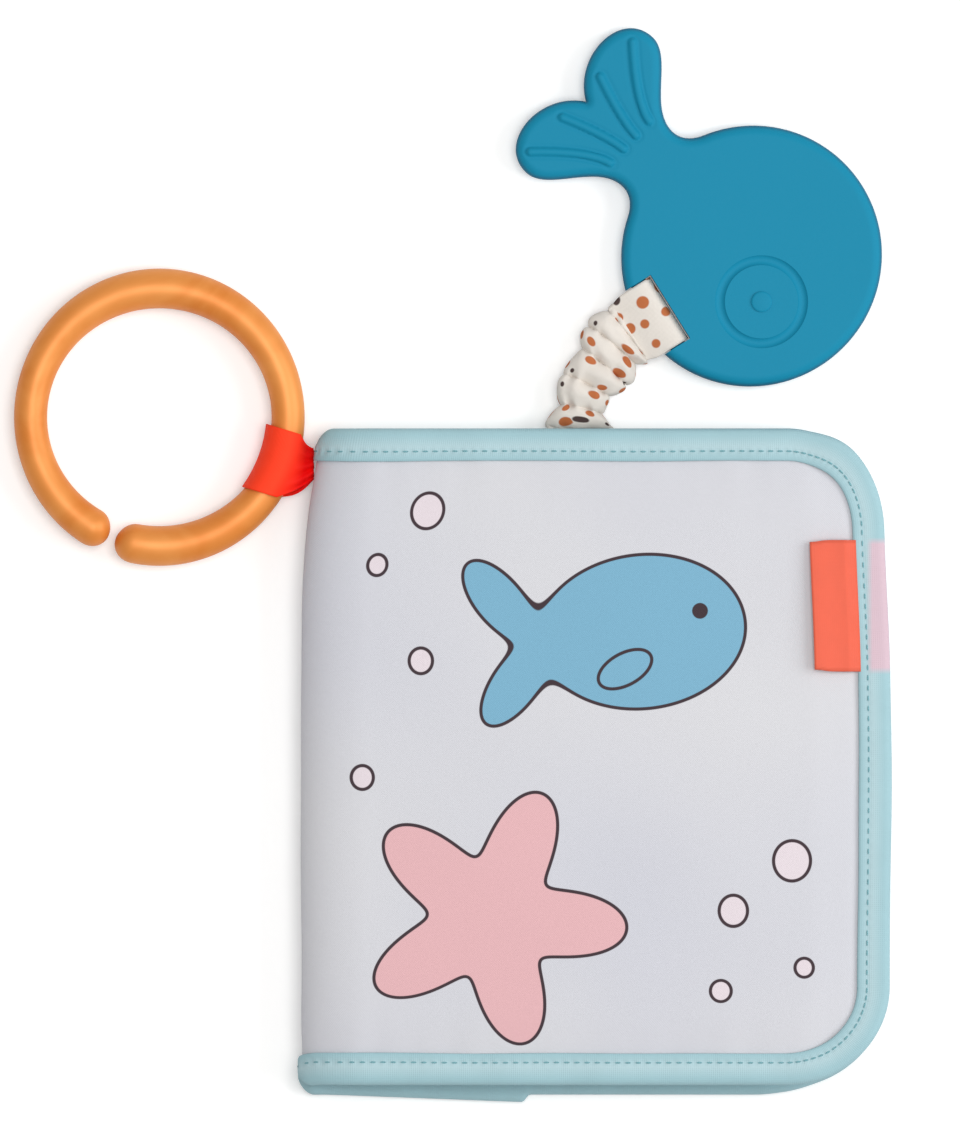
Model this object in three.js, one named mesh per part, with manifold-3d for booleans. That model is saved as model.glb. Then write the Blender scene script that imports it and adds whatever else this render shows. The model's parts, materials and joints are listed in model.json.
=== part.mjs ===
// Padded bath book for a baby, closed and lying on its back cover.
// Millimetres. X runs from the spine to the fore edge, Y from the bottom edge to the top edge
// and Z up from the back cover's underside, with the origin at the middle of that face.
import * as THREE from 'three';
import { mergeVertices } from 'three/addons/utils/BufferGeometryUtils.js';
import Module from 'manifold-3d';

// Covers and spine
const bookWidth = 141.2;
const bookHeight = 159.6;
const cornerRadius = 22;
const coverPad = 2.8;
const seamPad = 0.6;
const coverCloth = 0.4;
const crownLength = 12;
const tapeWidth = 7.8;
const tapeThickness = 0.6;
const spineFold = 5.7;
const spineLean = 4.8;
const spineLeanLength = 45;

// Inner leaves
const leafInset = 5;
const leafCloth = 0.3;
const leafSeamPad = 0.5;
const leafCrownLength = 8;
const leafTapeWidth = 5.5;
const leafTapeThickness = 0.5;
const leafHingeInset = 10;
const upperLeafPad = 3.8;
const lowerLeafPad = 2.4;
const filmThickness = 0.2;
const filmInset = 16;
const foldCloth = 0.5;
const foldBeadRadius = 0.9;

// Squeaker
const squeakerRadius = 11;
const squeakerWall = 0.6;
const squeakerX = 20;
const squeakerY = 8;
const airHoleRadius = 2;
const reedBoreRadius = 0.8;
const reedLength = 2.2;

// Link ring and its ribbon
const ringRadius = 31;
const ringThinRadius = 4;
const ringThickRadius = 4.8;
const ringGapAngle = -111.5;
const ringGapWidth = 1.8;
const ribbonAngle = -21;
const ribbonWidth = 16.4;
const ribbonNeckWidth = 7;
const ribbonInset = 8.3;
const ribbonTaper = 1.96;
const ribbonThickness = 0.5;

// Teether
const teetherX = 37.6;
const teetherRise = 41.6;
const teetherThickness = 7.6;
const teetherEdgeRadius = 2.6;
const teetherLength = 31.2;
const teetherBreadth = 31.6;
const shoulderAngle = 25;
const tailAngle = 137;
const throatLead = 3;
const tailReach = 62;
const tailHalfSpread = 22.3;
const tailNeckHalfWidth = 8.9;
const tailNotchDepth = 7.5;
const tailRibHeight = 0.5;
const tailRibWidth = 1.8;
const tailRibInset = 6;
const slotAngle = 212;
const barRadius = 2;
const barInset = 5;
const eyeAngle = -78;
const eyeReach = 11.3;
const eyeRadius = 11.2;
const eyeGrooveWidth = 2.4;
const eyeGrooveDepth = 0.6;
const pupilRadius = 2.5;
const pupilHeight = 0.5;

// Strap
const strapX = -4.2;
const strapWidth = 17.4;
const strapCloth = 0.9;
const strapBulk = 3.3;
const strapRise = 8;
const strapLead = 5;
const gatherCount = 7;
const gatherDepth = 0.13;
const elasticWidth = 5.4;
const elasticThickness = 0.5;
const anchorWidth = 16;
const anchorThickness = 1.2;
const bandLength = 9.5;

// Side label
const labelY = 37.2;
const labelHeight = 31.6;
const labelLength = 12;
const labelCloth = 0.35;

// Clearances
const layerGap = 0.3;
const leafClearance = 0.4;
const hingeRise = 0.8;
const hingeGap = 0.1;
const hingeSlit = 0.3;
const leafTail = 1.6;
const ringSlack = 0.2;
const ribbonSlit = 0.4;
const floorGap = 0.1;
const seamGap = 0.3;
const slotGap = 0.3;
const elasticSideGap = 0.75;
const elasticFaceGap = 0.4;
const labelLift = 0.3;

// Levels and edges that follow from the sizes above
const halfHeight = bookHeight / 2;
const teetherY = halfHeight + teetherRise;
const foreEdge = bookWidth / 2;
const spineX = -bookWidth / 2;
const flatX = spineX + spineFold;
const sewnInset = tapeThickness + layerGap;
const coverThickness = coverPad + 2 * (layerGap + coverCloth);
const upperLeafThickness = upperLeafPad + 2 * (layerGap + leafCloth);
const lowerLeafThickness = lowerLeafPad + 2 * (layerGap + leafCloth);
const backMid = coverThickness / 2;
const lowerMid = coverThickness + leafClearance + lowerLeafThickness / 2;
const upperMid = lowerMid + (lowerLeafThickness + upperLeafThickness) / 2 + leafClearance;
const frontBottom = upperMid + upperLeafThickness / 2 + leafClearance;
const frontMid = frontBottom + coverThickness / 2;
const hingeZ = frontBottom + hingeRise;
const wallTop = hingeZ - hingeSlit;
const innerWallTop = frontBottom - leafClearance;
const leafHingeX = spineX + leafHingeInset;

const rad = THREE.MathUtils.degToRad;
const mix = THREE.MathUtils.lerp;
const clamp = THREE.MathUtils.clamp;
const turn = (angle, radius) => new THREE.Vector2(Math.cos(angle), Math.sin(angle)).multiplyScalar(radius);
const range = (count) => Array.from({ length: count }, (_, i) => i);

const wasm = await Module();
wasm.setup();

// Closed solids

function closedGeometry(points, faces) {
  const geometry = new THREE.BufferGeometry();
  geometry.setAttribute('position', new THREE.Float32BufferAttribute(points.flatMap((p) => p.toArray()), 3));
  let volume = 0;
  for (const [a, b, c] of faces) {
    volume += points[a].dot(points[b].clone().cross(points[c]));
  }
  geometry.setIndex(faces.flatMap(([a, b, c]) => (volume > 0 ? [a, b, c] : [a, c, b])));
  return mergeVertices(geometry, 1e-5);
}

const onFloor = (p) => new THREE.Vector2(p.x, p.y);
const onEnd = (p) => new THREE.Vector2(p.x, p.z);
const onSide = (p) => new THREE.Vector2(p.y, p.z);

// The flat end of a loft, turned against the loft's own direction when it is the first ring
function endCap(ring, first, flatten, start) {
  const contour = ring.map(flatten);
  const direction = Math.sign(THREE.ShapeUtils.area(contour)) * (first ? -1 : 1);
  return THREE.ShapeUtils.triangulateShape(contour, []).map(([a, b, c]) => {
    const side = Math.sign(THREE.ShapeUtils.area([contour[a], contour[b], contour[c]]));
    return side === direction ? [start + a, start + b, start + c] : [start + a, start + c, start + b];
  });
}

function wallFaces(ringCount, count, start) {
  const faces = [];
  for (const r of range(ringCount - 1)) {
    for (const i of range(count)) {
      const a = start + r * count + i;
      const b = start + r * count + ((i + 1) % count);
      faces.push([a, b, b + count], [a, b + count, a + count]);
    }
  }
  return faces;
}

// A solid through a row of rings with as many points each, closed flat at both ends
function loft(rings, flatten) {
  const count = rings[0].length;
  const last = (rings.length - 1) * count;
  return closedGeometry(rings.flat(), [
    ...wallFaces(rings.length, count, 0),
    ...endCap(rings[0], true, flatten, 0),
    ...endCap(rings.at(-1), false, flatten, last),
  ]);
}

// An open sleeve: a wall between an outer and an inner row of rings
function sleeve(outer, inner) {
  const count = outer[0].length;
  const innerStart = outer.length * count;
  const outerLast = (outer.length - 1) * count;
  const innerLast = innerStart + (inner.length - 1) * count;
  const faces = wallFaces(outer.length, count, 0);
  faces.push(...wallFaces(inner.length, count, innerStart).map(([a, b, c]) => [a, c, b]));
  for (const i of range(count)) {
    const j = (i + 1) % count;
    faces.push([i, innerStart + i, innerStart + j], [i, innerStart + j, j]);
    faces.push([outerLast + i, innerLast + j, innerLast + i], [outerLast + i, outerLast + j, innerLast + j]);
  }
  return closedGeometry([...outer.flat(), ...inner.flat()], faces);
}

function toSolid(geometry) {
  const bare = new THREE.BufferGeometry();
  bare.setAttribute('position', geometry.getAttribute('position').clone());
  bare.setIndex(geometry.index ? geometry.index.clone() : null);
  const merged = mergeVertices(bare, 1e-4);
  return new wasm.Manifold(new wasm.Mesh({
    numProp: 3,
    vertProperties: Float32Array.from(merged.getAttribute('position').array),
    triVerts: Uint32Array.from(merged.index.array),
  }));
}

function fromSolid(solid) {
  const mesh = solid.getMesh();
  const geometry = new THREE.BufferGeometry();
  geometry.setAttribute('position', new THREE.BufferAttribute(mesh.vertProperties, 3));
  geometry.setIndex(new THREE.BufferAttribute(mesh.triVerts, 1));
  return geometry;
}

const join = (first, ...rest) =>
  fromSolid(rest.reduce((solid, g) => solid.add(toSolid(g)), toSolid(first)));
const cut = (first, ...rest) =>
  fromSolid(rest.reduce((solid, g) => solid.subtract(toSolid(g)), toSolid(first)));

// Panels: covers and leaves

// How far the soft spine is drawn in towards the book at a height along it
const leanPower = 1.6;
const lean = (y) =>
  spineLean * clamp((y - halfHeight + spineLeanLength) / spineLeanLength, 0, 1) ** leanPower;

// From 0 under the tape to 1 where a padded panel has its full thickness
function crown(inset, tape, length) {
  const t = clamp((inset - tape) / length, 0, 1);
  return 1 - (1 - t) ** 2;
}

const coverHalf = (inset) => mix(seamPad, coverPad, crown(inset, tapeWidth, crownLength)) / 2;
const leafHalf = (pad) => (inset) => mix(leafSeamPad, pad, crown(inset, leafTapeWidth, leafCrownLength)) / 2;

// Distances from a panel's edge at which its sections bend: under the tape, then along the crown
const coverInsets = [sewnInset, ...[0, 0.28, 0.61, 1].map((share) => tapeWidth + crownLength * share)];
const leafSewnInset = leafTapeThickness + layerGap;
const leafInsets = [leafSewnInset, ...[0, 0.33, 1].map((share) => leafTapeWidth + leafCrownLength * share)];

const coverPanel = { left: flatX, right: foreEdge, half: halfHeight, radius: cornerRadius };
const leafPanel = {
  left: leafHingeX + leafTail,
  right: foreEdge - leafInset,
  half: halfHeight - leafInset,
  radius: cornerRadius - leafInset,
};
const arcSteps = 6;
const spineSteps = 8;
const leastCornerRadius = 0.5;
const sewnEdgeLead = 1;

// A panel's outline, anticlockwise from the lower end of its spine side, which is drawn in past the tape
function panelOutline(panel, inset) {
  const half = panel.half - inset;
  const radius = Math.max(panel.radius - inset, leastCornerRadius);
  const centreX = panel.right - inset - radius;
  const centreY = half - radius;
  const left = panel.left + Math.max(inset - leafTapeWidth + sewnEdgeLead, 0);
  const points = [];
  for (const side of [-1, 1]) {
    for (const i of range(arcSteps + 1)) {
      const p = turn(rad((side < 0 ? -90 : 0) + (90 * i) / arcSteps), radius);
      points.push(new THREE.Vector2(centreX + p.x, side * centreY + p.y));
    }
  }
  for (const i of range(spineSteps + 1)) {
    const y = mix(half, -half, i / spineSteps);
    points.push(new THREE.Vector2(left, y));
  }
  return points;
}

// A layer of a padded panel between two heights that depend on the distance from its edge
function layer(panel, insets, lowAt, highAt) {
  const level = (inset, height) => panelOutline(panel, inset).map((p) => new THREE.Vector3(p.x, p.y, height));
  const under = insets.toReversed().map((inset) => level(inset, lowAt(inset)));
  const over = insets.map((inset) => level(inset, highAt(inset)));
  return loft([...under, ...over], onFloor);
}

const skinFoot = (half) => (inset) => half(inset) + layerGap;

// A leaf's sheet on one side of its padding
function sheetLayer(mid, half, side) {
  const near = (inset) => mid + side * skinFoot(half)(inset);
  const far = (inset) => near(inset) + side * leafCloth;
  return side > 0 ? layer(leafPanel, leafInsets, near, far) : layer(leafPanel, leafInsets, far, near);
}

// Binding tape: a channel folded over a panel's top edge, fore edge and bottom edge
const tapeSoftness = 0.8;

function edgeTape(panel, startX, mid, width, thickness, innerHalf) {
  const outerHalf = innerHalf + thickness;
  const inner = panelOutline(panel, 0).slice(0, 2 * (arcSteps + 1));
  const path = inner.map((p, i) => {
    const corner = i <= arcSteps ? -90 : 0;
    const step = i <= arcSteps ? i : i - arcSteps - 1;
    return { p, out: turn(rad(corner + (90 * step) / arcSteps), 1) };
  });
  path.unshift({ p: new THREE.Vector2(startX(-panel.half), -panel.half), out: new THREE.Vector2(0, -1) });
  path.push({ p: new THREE.Vector2(startX(panel.half), panel.half), out: new THREE.Vector2(0, 1) });
  const soften = thickness * tapeSoftness;
  const section = [
    [-width, outerHalf], [-soften, outerHalf], [-soften / 4, outerHalf - soften / 2],
    [0, outerHalf - soften], [0, soften - outerHalf], [-soften / 4, soften / 2 - outerHalf],
    [-soften, -outerHalf], [-width, -outerHalf], [-width, -innerHalf], [-thickness, -innerHalf],
    [-thickness, innerHalf], [-width, innerHalf],
  ];
  return loft(path.map(({ p, out }) => section.map(([inward, height]) =>
    new THREE.Vector3(p.x + out.x * inward, p.y + out.y * inward, mid + height))), onSide);
}

// The spine end: cloth and tape that follow one path in the X and Z plane, repeated along Y

const coverSurface = (y) => coverHalf(halfHeight - Math.abs(y)) + layerGap + coverCloth;
const foldSteps = 6;

// The spine's outer face, from the top of its wall down and under to the back cover
function spinePath(top) {
  return (y) => {
    const x = spineX + lean(y);
    const low = backMid - coverSurface(y);
    const points = [[x, top], [x, mix(coverThickness, top, 0.5)]];
    for (const i of range(foldSteps + 1)) {
      const a = rad((90 * i) / foldSteps);
      points.push([x + spineFold * (1 - Math.cos(a)), coverThickness - (coverThickness - low) * Math.sin(a)]);
    }
    return points;
  };
}

// The front cover's rounded left side, from just above the wall up and over to the flat panel
function foldPath(y) {
  const x = spineX + lean(y);
  const high = frontMid + coverSurface(y);
  return range(foldSteps + 1).map((i) => {
    const a = rad((90 * i) / foldSteps);
    return [x + spineFold * (1 - Math.cos(a)), hingeZ + hingeGap + (high - hingeZ - hingeGap) * Math.sin(a)];
  });
}

// A strip between two offsets from a path, with the inside of the book at the given hand of the path
function strip(path, near, far, inside) {
  const points = path.map(([x, z]) => new THREE.Vector2(x, z));
  const normals = points.map((p, i) => {
    const after = points[Math.min(i + 1, points.length - 1)];
    const along = after.clone().sub(points[Math.max(i - 1, 0)]).normalize();
    return new THREE.Vector2(-along.y, along.x).multiplyScalar(inside);
  });
  const shifted = (distance) => points.map((p, i) => p.clone().addScaledVector(normals[i], distance));
  return [...shifted(near), ...shifted(far).toReversed()];
}

function alongSpine(stations, section) {
  return loft(stations.map((y) => section(y).map((p) => new THREE.Vector3(p.x, y, p.y))), onEnd);
}

const tapeHalf = coverHalf(0) + coverCloth + 2 * layerGap;
const tapeStart = (y) => flatX + lean(y);
const taped = (side) => [halfHeight - tapeWidth, halfHeight - tapeThickness, halfHeight].map((y) => side * y);

const leftHand = 1;
const rightHand = -1;
const spineDepth = 2 * (coverCloth + layerGap) + coverCloth;

// Binding over one end of the spine, and its continuation over the front cover's rounded side
function wrapTape(side, path, hand, innerTop) {
  const [inner, lip, outer] = taped(side);
  const far = -layerGap - tapeThickness;
  const outside = alongSpine([inner, outer], (y) => strip(path(y), far, -layerGap, hand));
  const end = alongSpine([lip, outer], (y) => strip(innerTop(y), far, spineDepth, hand));
  return join(outside, end);
}

// Cover layers: sections in the X and Z plane, repeated along Y out to the rounded corners

// The distance from a point of a cover's cloth to the cover's edge
function insetAt(x, y) {
  const overX = x - (foreEdge - cornerRadius);
  const overY = Math.abs(y) - (halfHeight - cornerRadius);
  if (overX > 0 && overY > 0) {
    return cornerRadius - Math.hypot(overX, overY);
  }
  return Math.min(foreEdge - x, halfHeight - Math.abs(y));
}

const cornerStations = range(arcSteps + 1).map((i) =>
  halfHeight - cornerRadius + (cornerRadius - sewnInset) * Math.sin(rad((90 * i) / arcSteps)));
const coverStations = [
  ...cornerStations.toReversed().map((y) => -y),
  ...range(6).map((i) => mix(-halfHeight + cornerRadius, halfHeight - cornerRadius, (i + 1) / 7)),
  ...cornerStations,
];

// Where a section of the cover's cloth is bent, from its spine side to its fore edge
function coverColumns(left, y) {
  const over = Math.max(Math.abs(y) - (halfHeight - cornerRadius), 0);
  const radius = cornerRadius - sewnInset;
  const right = foreEdge - cornerRadius + Math.sqrt(Math.max(radius ** 2 - over ** 2, 0));
  const columns = coverInsets.toReversed().map((inset) => right - inset + sewnInset);
  return [left, mix(left, columns[0], 0.5), ...columns];
}

function coverLayer(leftAt, mid, lowAt, highAt) {
  return alongSpine(coverStations, (y) => {
    const columns = coverColumns(leftAt(y), y);
    const level = (height) => columns.map((x) => new THREE.Vector2(x, mid + height(insetAt(x, y))));
    return [...level(lowAt), ...level(highAt).toReversed()];
  });
}

const coverFoam = (mid) => coverLayer(tapeStart, mid, (inset) => -coverHalf(inset), coverHalf);
const clothFoot = skinFoot(coverHalf);
const clothFace = (inset) => clothFoot(inset) + coverCloth;
const clothOver = (leftAt, mid) => coverLayer(leftAt, mid, clothFoot, clothFace);
const clothUnder = (leftAt, mid) =>
  coverLayer(leftAt, mid, (inset) => -clothFace(inset), (inset) => -clothFoot(inset));

// Colours and finishes

const finishes = {
  lilacCloth: [0xd4d3de, 0.85],
  aquaTape: [0xa9d0d5, 0.8],
  pageCloth: [0xe6e2e4, 0.85],
  foam: [0xf2f0ea, 0.95],
  ribbon: [0xf2402a, 0.6],
  pearl: [0xd9843e, 0.32],
  silicone: [0x2c8fb2, 0.5],
  dottedCloth: [0xe4dcd4, 0.85],
  elastic: [0xf4f2ee, 0.8],
  clear: [0xdfe8ea, 0.2],
  squeaker: [0xf3f3f0, 0.4],
};

const book = new THREE.Group();

function addPart(name, geometry, finish) {
  const [color, roughness] = finishes[finish];
  const mesh = new THREE.Mesh(geometry, new THREE.MeshStandardMaterial({ color, roughness, metalness: 0 }));
  mesh.name = name;
  book.add(mesh);
}

// Back cover

addPart('back_outer_skin', clothUnder(tapeStart, backMid), 'lilacCloth');
addPart('back_padding', coverFoam(backMid), 'foam');
addPart('back_lining', clothOver(tapeStart, backMid), 'pageCloth');
const coverTape = (mid) => edgeTape(coverPanel, tapeStart, mid, tapeWidth, tapeThickness, tapeHalf);
addPart('back_binding', coverTape(backMid), 'aquaTape');

// Spine

const skinPath = spinePath(wallTop);
const skinStart = (y) => skinPath(y).map(([x, z]) => [Math.min(x, tapeStart(y) - seamGap), z]);
const spineCloth = (path) => alongSpine(coverStations, (y) => strip(path(y), 0, coverCloth, leftHand));
addPart('spine_skin', spineCloth(skinStart), 'lilacCloth');

// The spine's inner wall stands just inside its skin and turns into the back cover's lining
function liningPath(y) {
  const x = spineX + lean(y) + coverCloth + layerGap;
  const low = backMid + coverSurface(y) - coverCloth;
  const bend = coverThickness / 2;
  const points = [[x, innerWallTop], [x, mix(low + bend, innerWallTop, 0.5)]];
  for (const i of range(4)) {
    const a = rad((90 * i) / 3);
    points.push([x + bend * (1 - Math.cos(a)), low + bend * (1 - Math.sin(a))]);
  }
  points.push([tapeStart(y) - seamGap, low]);
  return points;
}
addPart('spine_lining', spineCloth(liningPath), 'pageCloth');

const tapeEnd = (y) => spinePath(innerWallTop)(y).map(([x, z]) => [Math.min(x, tapeStart(y) - seamGap), z]);
addPart('spine_binding_top', wrapTape(1, skinStart, leftHand, tapeEnd), 'aquaTape');
addPart('spine_binding_bottom', wrapTape(-1, skinStart, leftHand, tapeEnd), 'aquaTape');

// Front cover

// One closed section of the front cover's cloth, from the rounded spine side to the fore edge
function frontSkinSection(y) {
  const columns = coverColumns(tapeStart(y), y).slice(1);
  const level = (height) => columns.map((x) => new THREE.Vector2(x, frontMid + height(insetAt(x, y))));
  const fold = strip(foldPath(y), 0, coverCloth, rightHand);
  const outer = fold.slice(0, foldSteps + 1);
  const inner = fold.slice(foldSteps + 1);
  return [...outer, ...level(clothFace), ...level(clothFoot).toReversed(), ...inner];
}
addPart('front_outer_skin', alongSpine(coverStations, frontSkinSection), 'lilacCloth');
addPart('front_padding', coverFoam(frontMid), 'foam');
const frontLiningLeft = (y) => spineX + lean(y) + 2 * coverCloth + layerGap + leafClearance;
addPart('front_lining', clothUnder(frontLiningLeft, frontMid), 'pageCloth');

const frontWraps = [1, -1].map((side) => wrapTape(side, foldPath, rightHand, foldPath));
addPart('front_binding', join(coverTape(frontMid), ...frontWraps), 'aquaTape');

// Inner leaves

function leaf(name, mid, pad, padding) {
  const half = leafHalf(pad);
  addPart(`${name}_front_sheet`, sheetLayer(mid, half, 1), 'pageCloth');
  addPart(`${name}_back_sheet`, sheetLayer(mid, half, -1), 'pageCloth');
  addPart(`${name}_padding`, padding, 'foam');
  const innerHalf = half(0) + leafCloth + 2 * layerGap;
  const start = () => leafPanel.left + leafTapeWidth / 2;
  addPart(`${name}_binding`,
    edgeTape(leafPanel, start, mid, leafTapeWidth, leafTapeThickness, innerHalf), 'aquaTape');
}

function cylinder(radius, height, x, y, z, sides = 24) {
  const geometry = new THREE.CylinderGeometry(radius, radius, height, sides);
  geometry.rotateX(Math.PI / 2);
  return geometry.translate(x, y, z);
}

const upperHalf = leafHalf(upperLeafPad);
const upperFoam = layer(leafPanel, leafInsets,
  (inset) => upperMid - upperHalf(inset), (inset) => upperMid + upperHalf(inset));
const pocketRadius = squeakerRadius + layerGap;
const pocket = cylinder(pocketRadius, upperLeafPad * 2, squeakerX, squeakerY, upperMid);
leaf('upper_leaf', upperMid, upperLeafPad, cut(upperFoam, pocket));

const lowerFoamTop = lowerLeafPad / 2 - filmThickness - layerGap;
const lowerFoam = layer(leafPanel, leafInsets,
  (inset) => lowerMid - leafHalf(lowerLeafPad)(inset),
  (inset) => lowerMid + mix(leafSeamPad / 2, lowerFoamTop, crown(inset, leafTapeWidth, leafCrownLength)));
leaf('lower_leaf', lowerMid, lowerLeafPad, lowerFoam);

const filmTop = lowerMid + lowerLeafPad / 2;
addPart('crinkle_film', layer(leafPanel, [filmInset], () => filmTop - filmThickness, () => filmTop), 'clear');

// Squeaker: a flat hollow disc with one air hole, and a reed in that hole
const squeakerHalf = upperLeafPad / 2;
const squeakerShell = cut(
  cylinder(squeakerRadius, 2 * squeakerHalf, squeakerX, squeakerY, upperMid),
  cylinder(squeakerRadius - squeakerWall, 2 * (squeakerHalf - squeakerWall), squeakerX, squeakerY, upperMid),
  cylinder(airHoleRadius, squeakerHalf, squeakerX, squeakerY, upperMid - squeakerHalf, 12),
);
addPart('squeaker_shell', squeakerShell, 'squeaker');
const reedRadius = airHoleRadius - layerGap;
const reedProfile = [
  [reedBoreRadius, 0], [reedRadius, 0], [reedRadius, reedLength], [reedBoreRadius, reedLength],
];
const reed = new THREE.LatheGeometry(
  [...reedProfile, reedProfile[0]].map(([x, y]) => new THREE.Vector2(x, y)), 12);
reed.rotateX(Math.PI / 2).translate(squeakerX, squeakerY, upperMid - squeakerHalf);
addPart('squeaker_reed', reed, 'squeaker');

// The sheet that sews both leaves to the spine: a U in section, with a rolled bead on each leaf's axis
const foldHalf = halfHeight - tapeWidth - 2 * layerGap;
const foldBend = 1;
function foldSheetSection(y) {
  const back = spineX + lean(y) + 2 * (coverCloth + layerGap) + foldCloth / 2;
  const front = leafHingeX - foldBeadRadius / 2;
  return strip([
    [front, lowerMid], [back + foldBend, lowerMid], [back, lowerMid + foldBend],
    [back, upperMid - foldBend], [back + foldBend, upperMid], [front, upperMid],
  ], -foldCloth / 2, foldCloth / 2, leftHand);
}
const foldStations = range(9).map((i) => mix(-foldHalf, foldHalf, i / 8));
const bead = (z) => {
  const geometry = new THREE.CylinderGeometry(foldBeadRadius, foldBeadRadius, 2 * foldHalf, 10);
  return geometry.translate(leafHingeX, 0, z);
};
addPart('inner_sheet_fold', join(alongSpine(foldStations, foldSheetSection), bead(lowerMid), bead(upperMid)),
  'pageCloth');

// Side label: a loop of tape folded back on itself, lying on the front cover beside the fore edge tape
const labelRight = foreEdge - tapeWidth - seamGap;
const labelLow = frontMid + coverThickness / 2 + labelLift;
const labelSlit = layerGap;
const labelPitch = labelCloth + labelSlit;
const labelFold = new THREE.Vector2(
  labelRight - labelLength + labelPitch / 2, labelLow + (labelCloth + labelPitch) / 2);
const labelLoop = [new THREE.Vector2(labelRight, labelLow + labelCloth / 2)];
for (const i of range(5)) {
  labelLoop.push(turn(rad(-90 - (180 * i) / 4), labelPitch / 2).add(labelFold));
}
labelLoop.push(new THREE.Vector2(labelRight, labelLow + labelCloth / 2 + labelPitch));
const labelSection = strip(labelLoop.map((p) => [p.x, p.y]), -labelCloth / 2, labelCloth / 2, rightHand);
const labelEnds = [labelY - labelHeight / 2, labelY + labelHeight / 2];
addPart('side_label', alongSpine(labelEnds, () => labelSection), 'ribbon');

// Link ring: an open ring, thicker at its top and at its two ends

const ribbonRadius = ringThickRadius + ringSlack + ribbonThickness / 2;
const neckReach = ribbonRadius + ribbonTaper;
const neckY = halfHeight - ribbonInset;
const neckX = spineX + lean(neckY - ribbonNeckWidth / 2) - sewnInset - seamGap;
const ringX = neckX - neckReach - ringRadius * Math.cos(rad(ribbonAngle));
const ringY = neckY - ringRadius * Math.sin(rad(ribbonAngle));
const ringZ = ribbonRadius + ribbonThickness / 2 + floorGap;
const tubeRadius = (angle) => mix(ringThinRadius, ringThickRadius, (1 - Math.cos(2 * angle)) / 2);
const onRing = (angle, radius, z) =>
  new THREE.Vector3(ringX + radius * Math.cos(angle), ringY + radius * Math.sin(angle), z);
const tubeSides = 12;

function linkRing() {
  const endRadius = tubeRadius(rad(ringGapAngle));
  const capTurn = endRadius / ringRadius;
  const start = rad(ringGapAngle) + ringGapWidth / 2 / ringRadius;
  const sweep = 2 * Math.PI - ringGapWidth / ringRadius;
  const capSteps = 4;
  const bodySteps = 40;
  const stations = [
    ...range(capSteps).map((i) => {
      const a = rad(8 + (82 * i) / capSteps);
      return { angle: start + capTurn * (1 - Math.cos(a)), scale: Math.sin(a) };
    }),
    ...range(bodySteps + 1).map((i) =>
      ({ angle: start + capTurn + ((sweep - 2 * capTurn) * i) / bodySteps, scale: 1 })),
    ...range(capSteps).map((i) => {
      const a = rad(90 - (82 * (i + 1)) / capSteps);
      return { angle: start + sweep - capTurn * (1 - Math.cos(a)), scale: Math.sin(a) };
    }),
  ];
  const rings = stations.map(({ angle, scale }) => range(tubeSides).map((k) => {
    const p = turn((2 * Math.PI * k) / tubeSides, tubeRadius(angle) * scale);
    return onRing(angle, ringRadius + p.x, ringZ + p.y);
  }));
  const across = new THREE.Vector3(Math.cos(start), Math.sin(start), 0);
  return loft(rings, (p) => new THREE.Vector2(p.dot(across), p.z));
}
addPart('link_ring', linkRing(), 'pearl');

// Ribbon: a loop round the ring's tube that narrows to a neck at the spine

// How far the ribbon has opened from its neck's width, where the loop begins and on its far side
const neckSpread = 0.45;
const loopSpread = 1.2;
function ringRibbon() {
  const angle = rad(ribbonAngle);
  const leave = Math.acos(ribbonRadius / neckReach);
  const steps = 16;
  const stations = range(steps + 1).map((i) => {
    const a = mix(leave, 2 * Math.PI - leave, i / steps);
    const away = (1 - Math.cos(a)) / 2;
    const spread = Math.min(mix(neckSpread, loopSpread, away), 1);
    return { a, width: mix(ribbonNeckWidth, ribbonWidth, spread) };
  });
  const across = [-1, -0.5, 0, 0.5, 1];
  const edge = (distance) => ({ a, width }) => across.map((t) => {
    const p = turn(a, ribbonRadius + distance);
    return onRing(angle + (t * width) / 2 / ringRadius, ringRadius + p.x, ringZ + p.y);
  });
  const neck = (level, distance) => across.map((t) =>
    new THREE.Vector3(neckX, neckY + (t * ribbonNeckWidth) / 2, ringZ + level + distance));
  const levelStep = (ribbonSlit + ribbonThickness) / 2;
  const half = ribbonThickness / 2;
  const rings = [
    [...neck(levelStep, half), ...neck(levelStep, -half).toReversed()],
    ...stations.map((s) => [...edge(half)(s), ...edge(-half)(s).toReversed()]),
    [...neck(-levelStep, -half), ...neck(-levelStep, half).toReversed()],
  ];
  return loft(rings, onSide);
}
addPart('ring_ribbon', ringRibbon(), 'ribbon');

// Strap: anchor, gathered sleeve, elastic and the flat band that loops through the teether

const towardsTeether = turn(rad(slotAngle - 180), 1);
const bar = turn(rad(slotAngle), 1);
const rimReach = 1 / Math.hypot(
  Math.cos(rad(slotAngle - tailAngle)) / teetherLength, Math.sin(rad(slotAngle - tailAngle)) / teetherBreadth);
bar.multiplyScalar(rimReach - barInset).add(new THREE.Vector2(teetherX, teetherY));
const teetherMid = teetherThickness / 2;

const anchorLow = backMid + tapeHalf + tapeThickness + seamGap;
const anchorMid = anchorLow + anchorThickness / 2;
const anchorLength = leafInset - seamGap / 2;
const anchor = new THREE.BoxGeometry(anchorWidth, anchorLength, anchorThickness);
anchor.translate(strapX, halfHeight + seamGap / 2 - anchorLength / 2, anchorMid);
addPart('strap_anchor', anchor, 'dottedCloth');

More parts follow.
